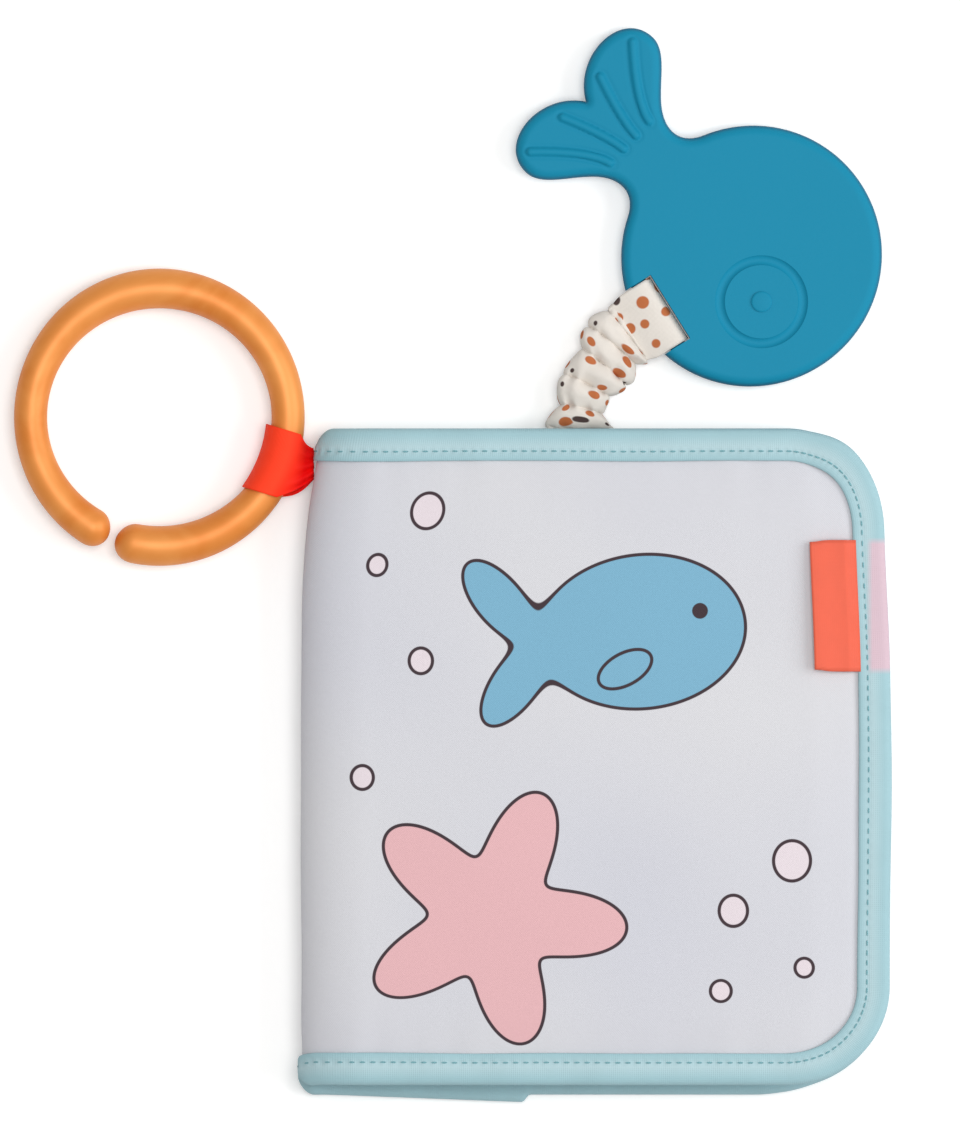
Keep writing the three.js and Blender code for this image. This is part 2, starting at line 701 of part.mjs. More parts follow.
const strapStart = new THREE.Vector3(strapX, halfHeight + 3 * seamGap, anchorMid);
const bandEnd = bar.clone().addScaledVector(towardsTeether, -bandLength - seamGap);
const strapEnd = new THREE.Vector3(bandEnd.x, bandEnd.y, teetherMid);
const strapCurve = new THREE.CubicBezierCurve3(
  strapStart,
  strapStart.clone().setY(strapStart.y + strapRise),
  new THREE.Vector3(bandEnd.x, bandEnd.y, teetherMid)
    .sub(new THREE.Vector3(towardsTeether.x, towardsTeether.y, 0).multiplyScalar(strapLead)),
  strapEnd);

function strapAcross(t) {
  const along = strapCurve.getTangent(t);
  return new THREE.Vector3(along.y, -along.x, 0).normalize();
}

// A closed ring of points round the strap's centre line, wide across and flat in height
const sleeveSides = 12;
const sleeveSquareness = 0.8;

function strapRing(t, halfWidth, halfHeightHere) {
  const centre = strapCurve.getPoint(t);
  const across = strapAcross(t);
  return range(sleeveSides).map((k) => {
    const a = (2 * Math.PI * k) / sleeveSides;
    const squared = (v) => Math.sign(v) * Math.abs(v) ** sleeveSquareness;
    return centre.clone().addScaledVector(across, halfWidth * squared(Math.cos(a)))
      .setZ(centre.z + halfHeightHere * squared(Math.sin(a)));
  });
}

// The gathers' bulk swells from the book and has thinned out again before the flat end
const bulkLead = 0.06;
const bulkEnd = 0.82;
const bulkPower = 0.7;
const ringsPerGather = 3;
const sleeveRings = range(gatherCount * ringsPerGather + 1).map((i) => {
  const t = i / (gatherCount * ringsPerGather);
  const ripple = 1 - gatherDepth * (1 + Math.cos(2 * Math.PI * gatherCount * t));
  const swell = Math.sin(Math.PI * Math.min(mix(bulkLead, 1, t / bulkEnd), 1)) ** bulkPower;
  const bulk = mix(anchorThickness, strapBulk, swell);
  return strapRing(t, (strapWidth / 2) * ripple, Math.max(bulk * ripple, anchorThickness));
});
const boreSteps = 8;
const boreRings = range(boreSteps + 1).map((i) =>
  strapRing(i / boreSteps, elasticWidth / 2 + elasticSideGap, elasticThickness / 2 + elasticFaceGap));
addPart('strap_sleeve', sleeve(sleeveRings, boreRings), 'dottedCloth');

const elasticSteps = 12;
const elasticRings = range(elasticSteps + 1).map((i) => {
  const centre = strapCurve.getPoint(i / elasticSteps);
  return [[1, 1], [-1, 1], [-1, -1], [1, -1]].map(([w, h]) => centre.clone()
    .addScaledVector(strapAcross(i / elasticSteps), (w * elasticWidth) / 2)
    .setZ(centre.z + (h * elasticThickness) / 2));
});
addPart('strap_elastic', loft(elasticRings, onEnd), 'elastic');

// A solid drawn in the plane that holds the teether's slot, with x away from the teether and y up
function acrossSlot(shape, width) {
  const geometry = new THREE.ExtrudeGeometry(shape, { depth: width, bevelEnabled: false, curveSegments: 12 });
  const away = new THREE.Vector3(-towardsTeether.x, -towardsTeether.y, 0);
  const up = new THREE.Vector3(0, 0, 1);
  const sidewaysAxis = away.clone().cross(up);
  geometry.translate(0, 0, -width / 2);
  geometry.applyMatrix4(new THREE.Matrix4().makeBasis(away, up, sidewaysAxis));
  return geometry.translate(bar.x, bar.y, teetherMid);
}

function strapLoop(inner, length, tipHalf, into) {
  into.moveTo(length, tipHalf);
  into.lineTo(0, inner);
  into.absarc(0, 0, inner, Math.PI / 2, (3 * Math.PI) / 2, false);
  into.lineTo(length, -tipHalf);
  into.closePath();
  return into;
}
const loopInner = barRadius + slotGap;
const loopOuter = loopInner + strapCloth;
const bandShape = strapLoop(loopOuter, bandLength, strapCloth, new THREE.Shape());
bandShape.holes.push(strapLoop(loopInner, bandLength - 2 * strapCloth, strapCloth / 5, new THREE.Path()));
addPart('strap_end_band', acrossSlot(bandShape, strapWidth), 'dottedCloth');

// Teether: a flat round-bodied fish with a ribbed two-lobed tail

// The fish's own frame: u from the middle of the body towards the tail, v across it
const fishPoint = (u, v) => new THREE.Vector2(u, v).rotateAround(new THREE.Vector2(), rad(tailAngle))
  .add(new THREE.Vector2(teetherX, teetherY));

// One side of the tail as three curves: from the body's shoulder in to the throat, out along the
// lobe, and round its end to the notch. Places along the tail are shares from the throat to its reach.
const throat = teetherLength + throatLead;
const alongTail = (share) => mix(throat, tailReach, share);
const bodyPoint = (angle) =>
  new THREE.Vector2(teetherLength * Math.cos(angle), teetherBreadth * Math.sin(angle));
const shoulder = bodyPoint(rad(shoulderAngle));
const shoulderRun = turn(rad(shoulderAngle - 90), throatLead);
const atNeck = (share) => new THREE.Vector2(alongTail(share), tailNeckHalfWidth);
const atSpread = (share) => new THREE.Vector2(alongTail(share), tailHalfSpread);
const lobeEnd = new THREE.Vector2(alongTail(1.09), tailHalfSpread * 0.27);
const notch = new THREE.Vector2(tailReach - tailNotchDepth, 0);
const tailSide = [
  [shoulder, shoulder.clone().add(shoulderRun), atNeck(-0.09), atNeck(0)],
  [atNeck(0), atNeck(0.3), atSpread(0.44), atSpread(0.69)],
  [atSpread(0.69), atSpread(1.06), lobeEnd, notch],
];
const bodySteps = 40;
const tailSteps = 8;

// The whole outline, anticlockwise from one shoulder round the body and the tail
function fishOutline() {
  const body = range(bodySteps + 1).map((i) =>
    bodyPoint(mix(rad(shoulderAngle), 2 * Math.PI - rad(shoulderAngle), i / bodySteps)));
  const side = tailSide.flatMap((controls) =>
    new THREE.CubicBezierCurve(...controls).getPoints(tailSteps).slice(1));
  const mirrored = side.map((p) => new THREE.Vector2(p.x, -p.y));
  return [...body, ...mirrored, ...side.slice(0, -1).toReversed()];
}

function roundedPlate(outline, low, high, edge) {
  const count = outline.length;
  const area = Math.sign(THREE.ShapeUtils.area(outline));
  const inward = outline.map((p, i) => {
    const along = outline[(i + 1) % count].clone().sub(outline[(i + count - 1) % count]).normalize();
    return new THREE.Vector2(-along.y, along.x).multiplyScalar(area);
  });
  const ringAt = (inset, z) => outline.map((p, i) => {
    const q = p.clone().addScaledVector(inward[i], inset);
    const placed = fishPoint(q.x, q.y);
    return new THREE.Vector3(placed.x, placed.y, z);
  });
  const steps = 2;
  const rounds = range(steps + 1).map((i) => rad((90 * i) / steps));
  return loft([
    ...rounds.toReversed().map((a) => ringAt(edge * (1 - Math.cos(a)), low + edge * (1 - Math.sin(a)))),
    ...rounds.map((a) => ringAt(edge * (1 - Math.cos(a)), high - edge * (1 - Math.sin(a)))),
  ], onFloor);
}

// Two ribs on each lobe, fanning from the throat: shares of the neck's and of the tail's half width
const ribShares = [[0.28, 0.3], [0.83, 0.81]];

function tailRibs() {
  const ribTop = teetherThickness + tailRibHeight;
  return ribShares.flatMap(([start, end]) => [-1, 1].map((side) => {
    const from = fishPoint(throat + tailRibInset, side * start * tailNeckHalfWidth);
    const to = fishPoint(tailReach - tailRibInset, side * end * tailHalfSpread);
    const along = to.clone().sub(from);
    const half = tailRibWidth / 2;
    const shape = new THREE.Shape();
    shape.absarc(0, 0, half, Math.PI / 2, (3 * Math.PI) / 2, false);
    shape.absarc(along.length(), 0, half, -Math.PI / 2, Math.PI / 2, false);
    const geometry = new THREE.ExtrudeGeometry(shape,
      { depth: ribTop - teetherMid, bevelEnabled: false, curveSegments: 4 });
    return geometry.rotateZ(along.angle()).translate(from.x, from.y, teetherMid);
  }));
}

// The eye: a round groove with a raised pupil in its middle
const eye = turn(rad(eyeAngle), eyeReach).add(new THREE.Vector2(teetherX, teetherY));
const eyeSides = 28;
const eyeDisc = (radius, low, high) => cylinder(radius, high - low, eye.x, eye.y, (high + low) / 2, eyeSides);
const grooveFloor = teetherThickness - eyeGrooveDepth;
const eyeGroove = cut(
  eyeDisc(eyeRadius, grooveFloor, teetherThickness + eyeGrooveDepth),
  eyeDisc(eyeRadius - eyeGrooveWidth, teetherMid, 2 * teetherThickness));
const pupil = eyeDisc(pupilRadius, teetherMid, teetherThickness + pupilHeight);

const slotReach = loopOuter + slotGap;
const slotWidth = strapWidth + 2 * slotGap;
const openSide = barInset + teetherEdgeRadius * 2;
const slotShape = new THREE.Shape([
  new THREE.Vector2(-slotReach, -teetherThickness), new THREE.Vector2(openSide, -teetherThickness),
  new THREE.Vector2(openSide, teetherThickness), new THREE.Vector2(-slotReach, teetherThickness),
]);
const barShape = new THREE.Shape().absarc(0, 0, barRadius, 0, 2 * Math.PI, false);
const plate = roundedPlate(fishOutline(), 0, teetherThickness, teetherEdgeRadius);
const cutPlate = cut(plate, acrossSlot(slotShape, slotWidth), eyeGroove);
const slotBar = acrossSlot(barShape, slotWidth + barRadius);
addPart('teether', join(cutPlate, slotBar, ...tailRibs(), pupil), 'silicone');

export default book;
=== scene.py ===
"""Padded bath book with a link ring and a teether on a gathered strap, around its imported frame."""
import json
import math

import bmesh
import bpy
import numpy as np
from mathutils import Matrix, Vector


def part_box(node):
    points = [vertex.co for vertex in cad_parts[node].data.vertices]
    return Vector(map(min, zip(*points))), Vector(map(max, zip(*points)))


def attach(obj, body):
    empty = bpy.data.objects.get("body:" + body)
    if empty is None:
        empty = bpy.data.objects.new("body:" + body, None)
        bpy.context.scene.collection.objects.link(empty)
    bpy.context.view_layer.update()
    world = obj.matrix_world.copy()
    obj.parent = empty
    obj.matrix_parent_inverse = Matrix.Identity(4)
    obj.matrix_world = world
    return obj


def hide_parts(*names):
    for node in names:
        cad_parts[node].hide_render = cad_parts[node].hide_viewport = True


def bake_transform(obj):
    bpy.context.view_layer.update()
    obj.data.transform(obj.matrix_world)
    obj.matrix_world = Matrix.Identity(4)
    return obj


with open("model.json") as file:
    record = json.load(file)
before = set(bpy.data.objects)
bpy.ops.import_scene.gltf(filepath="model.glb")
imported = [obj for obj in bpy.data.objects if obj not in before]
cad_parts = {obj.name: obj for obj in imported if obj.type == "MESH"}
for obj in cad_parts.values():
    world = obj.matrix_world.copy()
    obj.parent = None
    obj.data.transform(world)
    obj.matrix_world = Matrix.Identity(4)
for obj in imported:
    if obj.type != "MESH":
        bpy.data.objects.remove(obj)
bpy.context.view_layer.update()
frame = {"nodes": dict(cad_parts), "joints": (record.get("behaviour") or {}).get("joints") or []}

bl_info = {
    "name": "Bath book",
    "version": (1, 0, 0),
    "blender": (4, 5, 0),
    "location": "3D View > Sidebar > Bath book",
    "description": "Builds a padded bath book, its link ring, its teether and a plain studio",
    "category": "Add Mesh",
}

MM = 0.001
TAU = 2 * math.pi


# Places read from the frame

def middle(node, axis):
    """The middle of a node's box along one axis."""
    low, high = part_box(node)
    return (low[axis] + high[axis]) / 2


def pivot(name):
    """The place where a joint of the frame turns."""
    return next(j for j in frame["joints"] if j["name"] == name)["pos_m"]


FORE_EDGE, HALF_HEIGHT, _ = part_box("back_binding")[1]
BACK_MID = middle("back_binding", 2)
FRONT_MID = middle("front_padding", 2)
COVER_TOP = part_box("front_outer_skin")[1].z
COVER_HALF = COVER_TOP - FRONT_MID
SPINE_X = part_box("spine_skin")[0].x
LEAF_HINGE_X, _, UPPER_MID = pivot("upper_leaf_hinge")
LOWER_MID = pivot("lower_leaf_hinge")[2]
LEAF_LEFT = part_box("upper_leaf_padding")[0].x
LEAF_RIGHT, LEAF_HALF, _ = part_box("upper_leaf_binding")[1]
RING_X, RING_Y, RING_Z = (middle("link_ring", axis) for axis in range(3))
BAR = np.array(pivot("teether_fold"))
STRAP_START = np.array([middle("strap_anchor", 0), HALF_HEIGHT + 0.9 * MM, middle("strap_anchor", 2)])

# Each leaf's middle height, its padding's thickness and the colour of its printed waves
LEAVES = {
    "upper_leaf": (UPPER_MID, 3.8 * MM, "star"),
    "lower_leaf": (LOWER_MID, 2.4 * MM, "fish"),
}
# A leaf's cloth and foam end this far inside its outline, under the tape
LEAF_UNDER_TAPE = 0.8 * MM
# The back cover's lower edge hangs out as far as this X
FLAP_END = -17.7 * MM
# The height that parts the one cloth into the back cover's share below it and the front cover's share above
# it; no stitches are made close to it
PARTING = 12.5 * MM
COVER_BLEND = ("root", "front_cover", (SPINE_X, 0, PARTING), (SPINE_X, 0, PARTING + 0.004 * MM))
# The way out of the book along the strap's flat end, and the way across it
BAND_ANGLE = math.radians(32)
BAND_WAY = np.array([math.cos(BAND_ANGLE), math.sin(BAND_ANGLE), 0])
BAND_SIDE = np.array([-BAND_WAY[1], BAND_WAY[0], 0])
UP = np.array([0, 0, 1.0])


def linear(colour):
    """A display colour's three channels in linear light."""
    channel = np.asarray(colour[:3], float)
    low = channel / 12.92
    high = ((channel + 0.055) / 1.055) ** 2.4
    return tuple(np.where(channel < 0.04045, low, high))


def quantity(name, default, description, **limits):
    """A number property."""
    return bpy.props.FloatProperty(name=name, description=description, default=default, **limits)


def length(name, default, description):
    """A length property in metres."""
    return quantity(name, default, description, min=0, unit="LENGTH", subtype="DISTANCE", precision=5)


def tint(name, default, description):
    """A colour property in display values from 0 to 255."""
    return bpy.props.FloatVectorProperty(
        name=name, description=description, default=tuple(c / 255 for c in default), min=0, max=1,
        size=3, subtype="COLOR_GAMMA")


class BookSizes(bpy.types.PropertyGroup):
    """Sizes of the cloth parts"""
    corner_radius: length("Corner radius", 25 * MM, "Radius of the covers' rounded corners")
    tape_width: length("Binding width", 7.8 * MM, "Width of the binding tape on each face")
    tape_rise: length("Binding rise", 0.9 * MM, "How far the binding stands above the cover's seam")
    cloth: length("Cover cloth", 0.4 * MM, "Thickness of the cover cloth")
    crown_length: length("Crown length", 12 * MM, "Distance over which the padding reaches full height")
    spine_fold: length("Spine fold", 11 * MM, "Reach of the cover's rounded spine side")
    turn_height: length("Turn height", 9.5 * MM, "Height at which the front cover's curve becomes upright")
    spine_lean: length("Spine lean", 4.8 * MM, "How far the spine's top end is drawn in")
    lean_length: length("Lean length", 45 * MM, "Length of spine that is drawn in")
    spine_round: length("Spine rounding", 16 * MM, "Width over which the cover curves down to the spine")
    top_round: length("Top rounding", 2.6 * MM, "How far the spine's top corner is rounded off")
    low_round: length("Bottom rounding", 2.6 * MM, "How far the spine's bottom corner is rounded off")
    corner_reach: length("Corner reach", 2.4 * MM, "Width over which the spine's corners are rounded off")
    front_rise: length("Front rise", 1.9 * MM, "How far the front cover's lower edge has moved up")
    back_sag: length("Back sag", 1.8 * MM, "How far the back cover's lower edge hangs out")
    back_drop: length("Back drop", 0.8 * MM, "How far the whole of the back cover's lower edge shows")
    corner_lift: length("Corner lift", 1.6 * MM, "How far the covers' fore corners are drawn up")
    stitch_pitch: length("Stitch pitch", 2.45 * MM, "Distance between stitches")
    stitch_inset: length("Stitch inset", 5.5 * MM, "Distance of the stitches from the binding's outer edge")
    leaf_tape_width: length("Leaf binding width", 5.5 * MM, "Width of the leaves' binding")
    leaf_crown: length("Leaf crown", 8 * MM, "How far from its binding a leaf reaches full thickness")


class BookColours(bpy.types.PropertyGroup):
    """Colours of the cloth parts"""
    cover: tint("Cover", (209, 209, 213), "Pale lilac cover cloth")
    cover_shade: tint("Cover shade", (199, 200, 209), "Bluer patches of the cover print")
    page: tint("Page", (236, 234, 238), "Page cloth")
    binding: tint("Binding", (155, 190, 198), "Aqua binding tape")
    thread: tint("Thread", (123, 178, 187), "Stitching")
    blush: tint("Blush", (214, 176, 188), "Faint pink area of the binding beside the label")
    fish: tint("Fish", (120, 171, 197), "Blue of the printed fish")
    star: tint("Starfish", (220, 174, 178), "Pink of the printed starfish")
    bubble: tint("Bubbles", (220, 209, 215), "Fill of the printed bubbles")
    ink: tint("Ink", (62, 48, 54), "Printed outline")
    foam: tint("Foam", (242, 240, 232), "Padding")


class ToySizes(bpy.types.PropertyGroup):
    """Sizes of the ring, ribbon, label, strap and teether"""
    ring_radius: length("Ring radius", 31 * MM, "Radius of the ring's centre line")
    ring_gap: length("Ring gap", 1.8 * MM, "Gap between the ring's ends")
    ribbon_width: length("Ribbon width", 16.4 * MM, "Width of the ribbon round the ring")
    neck_width: length("Ribbon neck", 7 * MM, "Width of the ribbon at the spine")
    label_cloth: length("Label cloth", 0.35 * MM, "Thickness of the label's tape")
    strap_width: length("Strap width", 17.4 * MM, "Width of the strap")
    strap_cloth: length("Strap cloth", 0.9 * MM, "Thickness of the strap's end band")
    strap_bulk: length("Strap bulk", 3.7 * MM, "Half thickness of the gathers")
    band_length: length("Band length", 9.5 * MM, "Length of the strap's flat end")
    teether_edge: length("Teether edge", 2.6 * MM, "Radius of the teether's rounded edge")
    rib_rise: length("Rib rise", 0.7 * MM, "How far the tail's ribs stand proud")
    groove_depth: length("Groove depth", 0.6 * MM, "Depth of the round groove in the teether")


class ToyColours(bpy.types.PropertyGroup):
    """Colours of the ring, ribbon, label, strap and teether"""
    ring: tint("Ring", (219, 127, 43), "Orange gold of the ring")
    ring_glow: tint("Ring pearl", (246, 170, 92), "Lighter pearl in the ring")
    ribbon: tint("Ribbon", (255, 62, 26), "Ribbon round the ring")
    # Painted shade: the deeper, more saturated red of the ribbon's gathered neck.
    ribbon_neck_shade: tint("Ribbon neck", (250, 4, 3), "Ribbon at its neck")
    label: tint("Label", (231, 92, 61), "Side label")
    teether: tint("Teether", (20, 131, 164), "Teether silicone")
    # Painted shade: a darker line along the teether's rounded rim.
    teether_rim_shade: tint("Teether rim", (26, 104, 134), "Darker line round the teether")
    strap: tint("Strap", (228, 221, 213), "Strap cloth")
    dot: tint("Dots", (186, 106, 62), "Orange brown dots")
    dark_dot: tint("Dark dots", (74, 58, 56), "Dark brown dots")
    elastic: tint("Elastic", (244, 242, 238), "Elastic web")
    squeaker: tint("Squeaker", (243, 243, 240), "Squeaker plastic")
    film: tint("Film", (223, 232, 234), "Crinkle film")


class StudioSettings(bpy.types.PropertyGroup):
    """Camera and lights"""
    view_height: length("View height", 273.6 * MM, "Height of the photographed area")
    view_x: quantity("View centre X", -27.8 * MM, "Middle of the photographed area", unit="LENGTH")
    view_y: quantity("View centre Y", 45.8 * MM, "Middle of the photographed area", unit="LENGTH")
    distance: length("Camera distance", 4, "Camera height above the front cover")
    key_power: quantity("Key light", 11.6, "Power of the main light")
    fill: quantity("Fill", 0.4, "Strength of the surrounding light")


# Shader maths: an operator on a value adds its Math node

class Value:
    """An output among one tree's nodes, used in expressions."""

    def __init__(self, tree, source):
        self.tree = tree
        self.source = source

    def maths(self, operation, *terms, clamp=False):
        """Adds a Math node with this operation on its terms."""
        return self.tree.node(
            "ShaderNodeMath", {"operation": operation, "use_clamp": clamp}, dict(enumerate(terms)))

    def __add__(self, other):
        return self.maths("ADD", self, other)

    def __sub__(self, other):
        return self.maths("SUBTRACT", self, other)

    def __mul__(self, other):
        return self.maths("MULTIPLY", self, other)

    def __truediv__(self, other):
        return self.maths("DIVIDE", self, other)

    def __pow__(self, other):
        return self.maths("POWER", self, other)

    def __neg__(self):
        return self.maths("MULTIPLY", self, -1)

    def __abs__(self):
        return self.maths("ABSOLUTE", self)

    def root(self):
        return self.maths("SQRT", self)

    def wave(self, pitch=TAU):
        """The sine that has one whole wave to each pitch."""
        return self.maths("SINE", self if pitch == TAU else self * (TAU / pitch))

    def most(self, other):
        return self.maths("MAXIMUM", self, other)

    def stretched(self, gain, offset):
        """The value times gain plus offset, kept from 0 to 1."""
        return self.maths("MULTIPLY_ADD", self, gain, offset, clamp=True)

    def within(self, edge, soft, reach=0):
        """1 where the value is under edge and a varying reach, 0 where it is over, across a soft band."""
        return (self - reach).stretched(-1 / soft, edge / soft + 0.5)


class Nodes:
    """A node tree while its nodes are made."""

    def __init__(self, tree):
        self.tree = tree
        tree.nodes.clear()

    def set(self, socket, value):
        """Feeds a socket with a value, a colour or a number."""
        if isinstance(value, Value):
            self.tree.links.new(value.source, socket)
        elif socket.type == "RGBA":
            socket.default_value = (*value, 1)
        else:
            socket.default_value = value

    def node(self, kind, settings=None, inputs=None, output=0):
        """Adds a node with its settings and inputs, and gives one of its outputs."""
        node = self.tree.nodes.new(kind)
        for name, value in (settings or {}).items():
            setattr(node, name, value)
        for name, value in (inputs or {}).items():
            self.set(node.inputs[name], value)
        return Value(self, node.outputs[output])

    def seen(self, plain, shown):
        """One shader for the light that goes round the scene and another for what the camera sees."""
        camera = self.node("ShaderNodeLightPath", output="Is Camera Ray")
        return self.node("ShaderNodeMixShader", None, {0: camera, 1: plain, 2: shown})

    def close(self, kind, surface):
        """Ends the tree with an output node of one kind."""
        self.set(self.tree.nodes.new(kind).inputs[0], surface)


class Finish(Nodes):
    """A material while its nodes are made."""

    def __init__(self, name):
        self.material = bpy.data.materials.new("finish_" + name)
        self.material.use_nodes = True
        super().__init__(self.material.node_tree)

    def mix(self, factor, first, second):
        """Two colours mixed by a factor."""
        return self.node(
            "ShaderNodeMix", {"data_type": "RGBA"}, {0: factor, 6: first, 7: second}, 2)

    def darker(self, factor, colour, share):
        """A display colour mixed by a factor with a share of its own light."""
        base = linear(colour)
        return self.mix(factor, base, tuple(share * c for c in base))

    def place(self):
        """Object coordinates."""
        return self.node("ShaderNodeTexCoord", output="Object")

    def cloth_place(self):
        """The piece's own coordinates in metres, along and across its cloth."""
        return self.node("ShaderNodeTexCoord", output="UV")

    def parts(self, vector):
        """The three parts of a vector."""
        return [self.node("ShaderNodeSeparateXYZ", None, {0: vector}, axis) for axis in range(3)]

    def noise(self, vector, scale, detail, rough, distortion=0.0):
        return self.node(
            "ShaderNodeTexNoise", None,
            {"Vector": vector, "Scale": scale, "Detail": detail, "Roughness": rough,
             "Distortion": distortion})

    def bump(self, height, distance):
        """The normal bent by a height, of which one unit stands for a distance."""
        return self.node("ShaderNodeBump", None, {"Height": height, "Distance": distance, "Strength": 1.0})

    def done(self, **inputs):
        """Feeds the surface's inputs and closes the material."""
        named = {name.replace("_", " "): value for name, value in inputs.items()}
        self.close("ShaderNodeOutputMaterial", self.node("ShaderNodeBsdfPrincipled", None, named))
        return self.material

    def woven(self, paint, roughness, place, uneven, pitch=0.42 * MM, depth=0.03 * MM):
        """Closes the material as cloth: a plain weave, which is the product of waves along and across it,
        with the cloth's unevenness, as bump."""
        across, along, _ = self.parts(place)
        height = across.wave(pitch) * along.wave(pitch) + uneven
        return self.done(
            Base_Color=paint, Roughness=roughness, Normal=self.bump(height, depth), Specular_IOR_Level=0.3)


def ellipse(x, y, centre, half, angle=0.0):
    """Distance to an ellipse, worked out from the two scaled lengths of a point."""
    cos, sin = math.cos(angle), math.sin(angle)
    u = (x - centre[0]) * cos + (y - centre[1]) * sin
    v = (y - centre[1]) * cos - (x - centre[0]) * sin
    near = ((u / half[0]) ** 2 + (v / half[1]) ** 2).root()
    steep = ((u / half[0] ** 2) ** 2 + (v / half[1] ** 2) ** 2).root().most(1e-4)
    return near * (near - 1) / steep


def merged(first, second, soft):
    """The union of two distances with a soft fillet."""
    return first.maths("SMOOTH_MIN", first, second, soft)


# Meshes from grids of points

def lattice(rows, columns, round_rows=False, round_columns=False):
    """Quads over a grid, and the same quads on the grid before its ends are joined."""
    i, j = np.meshgrid(
        np.arange(rows - (not round_rows)), np.arange(columns - (not round_columns)), indexing="ij")
    corners = [(i, j), (i + 1, j), (i + 1, j + 1), (i, j + 1)]
    quads = np.stack([(a % rows) * columns + b % columns for a, b in corners], -1)
    wide = columns + round_columns
    flat = np.stack([a * wide + b for a, b in corners], -1)
    return quads.reshape(-1, 4), flat.reshape(-1, 4)


def signed_volume(points, faces):
    """Six times the volume inside, from each face's first corner and its other edges."""
    total = 0.0
    for corner in range(1, faces.shape[1] - 1):
        a, b, c = points[faces[:, 0]], points[faces[:, corner]], points[faces[:, corner + 1]]
        total += np.einsum("ij,ij->", a, np.cross(b, c))
    return total


def solid(name, points, faces, material, uv=None):
    """A closed mesh object with its faces outward. uv has a row for each corner of each face."""
    points = np.asarray(points, float).reshape(-1, 3)
    if sum(signed_volume(points, f) for f in faces) < 0:
        faces = [f[:, ::-1] for f in faces]
        uv = None if uv is None else [part[:, ::-1] for part in uv]
    mesh = bpy.data.meshes.new(name)
    corners = np.concatenate([f.ravel() for f in faces])
    sizes = np.concatenate([np.full(len(f), f.shape[1]) for f in faces])
    mesh.vertices.add(len(points))
    mesh.vertices.foreach_set("co", points.ravel())
    mesh.loops.add(len(corners))
    mesh.loops.foreach_set("vertex_index", corners.astype(np.int32))
    mesh.polygons.add(len(sizes))
    mesh.polygons.foreach_set("loop_start", (np.cumsum(sizes) - sizes).astype(np.int32))
    mesh.update(calc_edges=True)
    mesh.polygons.foreach_set("use_smooth", np.full(len(sizes), True))
    if uv is not None:
        layer = mesh.uv_layers.new(name="cloth")
        layer.data.foreach_set("uv", np.concatenate([part.reshape(-1, 2) for part in uv]).ravel())
    mesh.validate()
    mesh.materials.append(material)
    item = bpy.data.objects.new(name, mesh)
    bpy.context.scene.collection.objects.link(item)
    return item


def border(rows, columns):
    """The grid's outer points in order, starting along its first row."""
    index = np.arange(rows * columns).reshape(rows, columns)
    return np.concatenate([index[0, :-1], index[:-1, -1], index[-1, :0:-1], index[:0:-1, 0]])


def slab(name, over, under, material, uv=None):
    """A closed sheet between two grids of points of the same shape, with a rim round their border."""
    rows, columns = over.shape[:2]
    quads, _ = lattice(rows, columns)
    edge = border(rows, columns)
    after = np.roll(edge, -1)
    count = rows * columns
    rim = np.stack([edge, after, after + count, edge + count], -1)
    faces = [quads, quads[:, ::-1] + count, rim]
    if uv is not None:
        flat = uv.reshape(-1, 2)
        uv = [flat[quads], flat[quads[:, ::-1]], flat[rim % count]]
    return solid(name, np.concatenate([over.reshape(-1, 3), under.reshape(-1, 3)]), faces, material, uv)


def tube(name, rings, material, uv=None, loop=False):
    """A closed tube through rings of points, shape rings x points x 3, with a fan on each end."""
    rows, columns = rings.shape[:2]
    quads, flat = lattice(rows, columns, loop, True)
    points = rings.reshape(-1, 3)
    faces = [quads]
    corners = None if uv is None else [uv.reshape(-1, 2)[flat]]
    if not loop:
        centres = np.stack([rings[0].mean(0), rings[-1].mean(0)])
        points = np.concatenate([points, centres])
        here = np.arange(columns)
        after = (here + 1) % columns
        last = (rows - 1) * columns
        first_fan = np.stack([np.full(columns, rows * columns), after, here], -1)
        last_fan = np.stack([np.full(columns, rows * columns + 1), last + here, last + after], -1)
        faces.append(np.concatenate([first_fan[:, ::-1], last_fan[:, ::-1]]))
        if uv is not None:
            table = uv.reshape(-1, 2)
            first = table[np.stack([here, here, here + 1], -1)]
            last_row = (rows - 1) * (columns + 1)
            second = table[last_row + np.stack([here + 1, here, here], -1)]
            corners.append(np.concatenate([first, second]))
    return solid(name, points, faces, material, corners)


def unit(vectors):
    """Vectors at length one."""
    return vectors / np.maximum(np.linalg.norm(vectors, axis=-1, keepdims=True), 1e-12)


def normals(grid):
    """The normal at each point of a grid, from the differences along its rows and columns."""
    return unit(np.cross(np.gradient(grid, axis=0), np.gradient(grid, axis=1)))


def stacked(*parts):
    """Points or pairs from their parts, which are broadcast to one shape."""
    return np.stack(np.broadcast_arrays(*parts), -1)


def run_of(line):
    """The length of a line from its start to each of its points."""
    return np.concatenate([[0], np.cumsum(np.linalg.norm(np.diff(line, axis=0), axis=1))])


def around(count):
    """Evenly spaced angles of one turn."""
    return np.arange(count) * TAU / count


def facing(grid, way=UP, at=(0, 0)):
    """A grid's normals, on the side of it that looks a given way at one point."""
    outward = normals(grid)
    return outward if outward[at] @ way > 0 else -outward


def smooth_step(value, low, high):
    """0 below low, 1 above high, and a smooth cubic between."""
    t = np.clip((value - low) / (high - low), 0, 1)
    return t * t * (3 - 2 * t)


def ripple(x, y, size, seed):
    """Gentle unevenness from -1 to 1: a sum of plane waves in seeded directions near one size."""
    waves, strength = 7, 1.6
    draw = np.random.default_rng(seed)
    total = np.zeros(np.broadcast(x, y).shape)
    for _ in range(waves):
        angle = draw.uniform(0, TAU)
        pitch = size * draw.uniform(0.7, 1.5)
        phase = draw.uniform(0, TAU)
        total += np.cos((x * math.cos(angle) + y * math.sin(angle)) * TAU / pitch + phase)
    return total / waves * strength


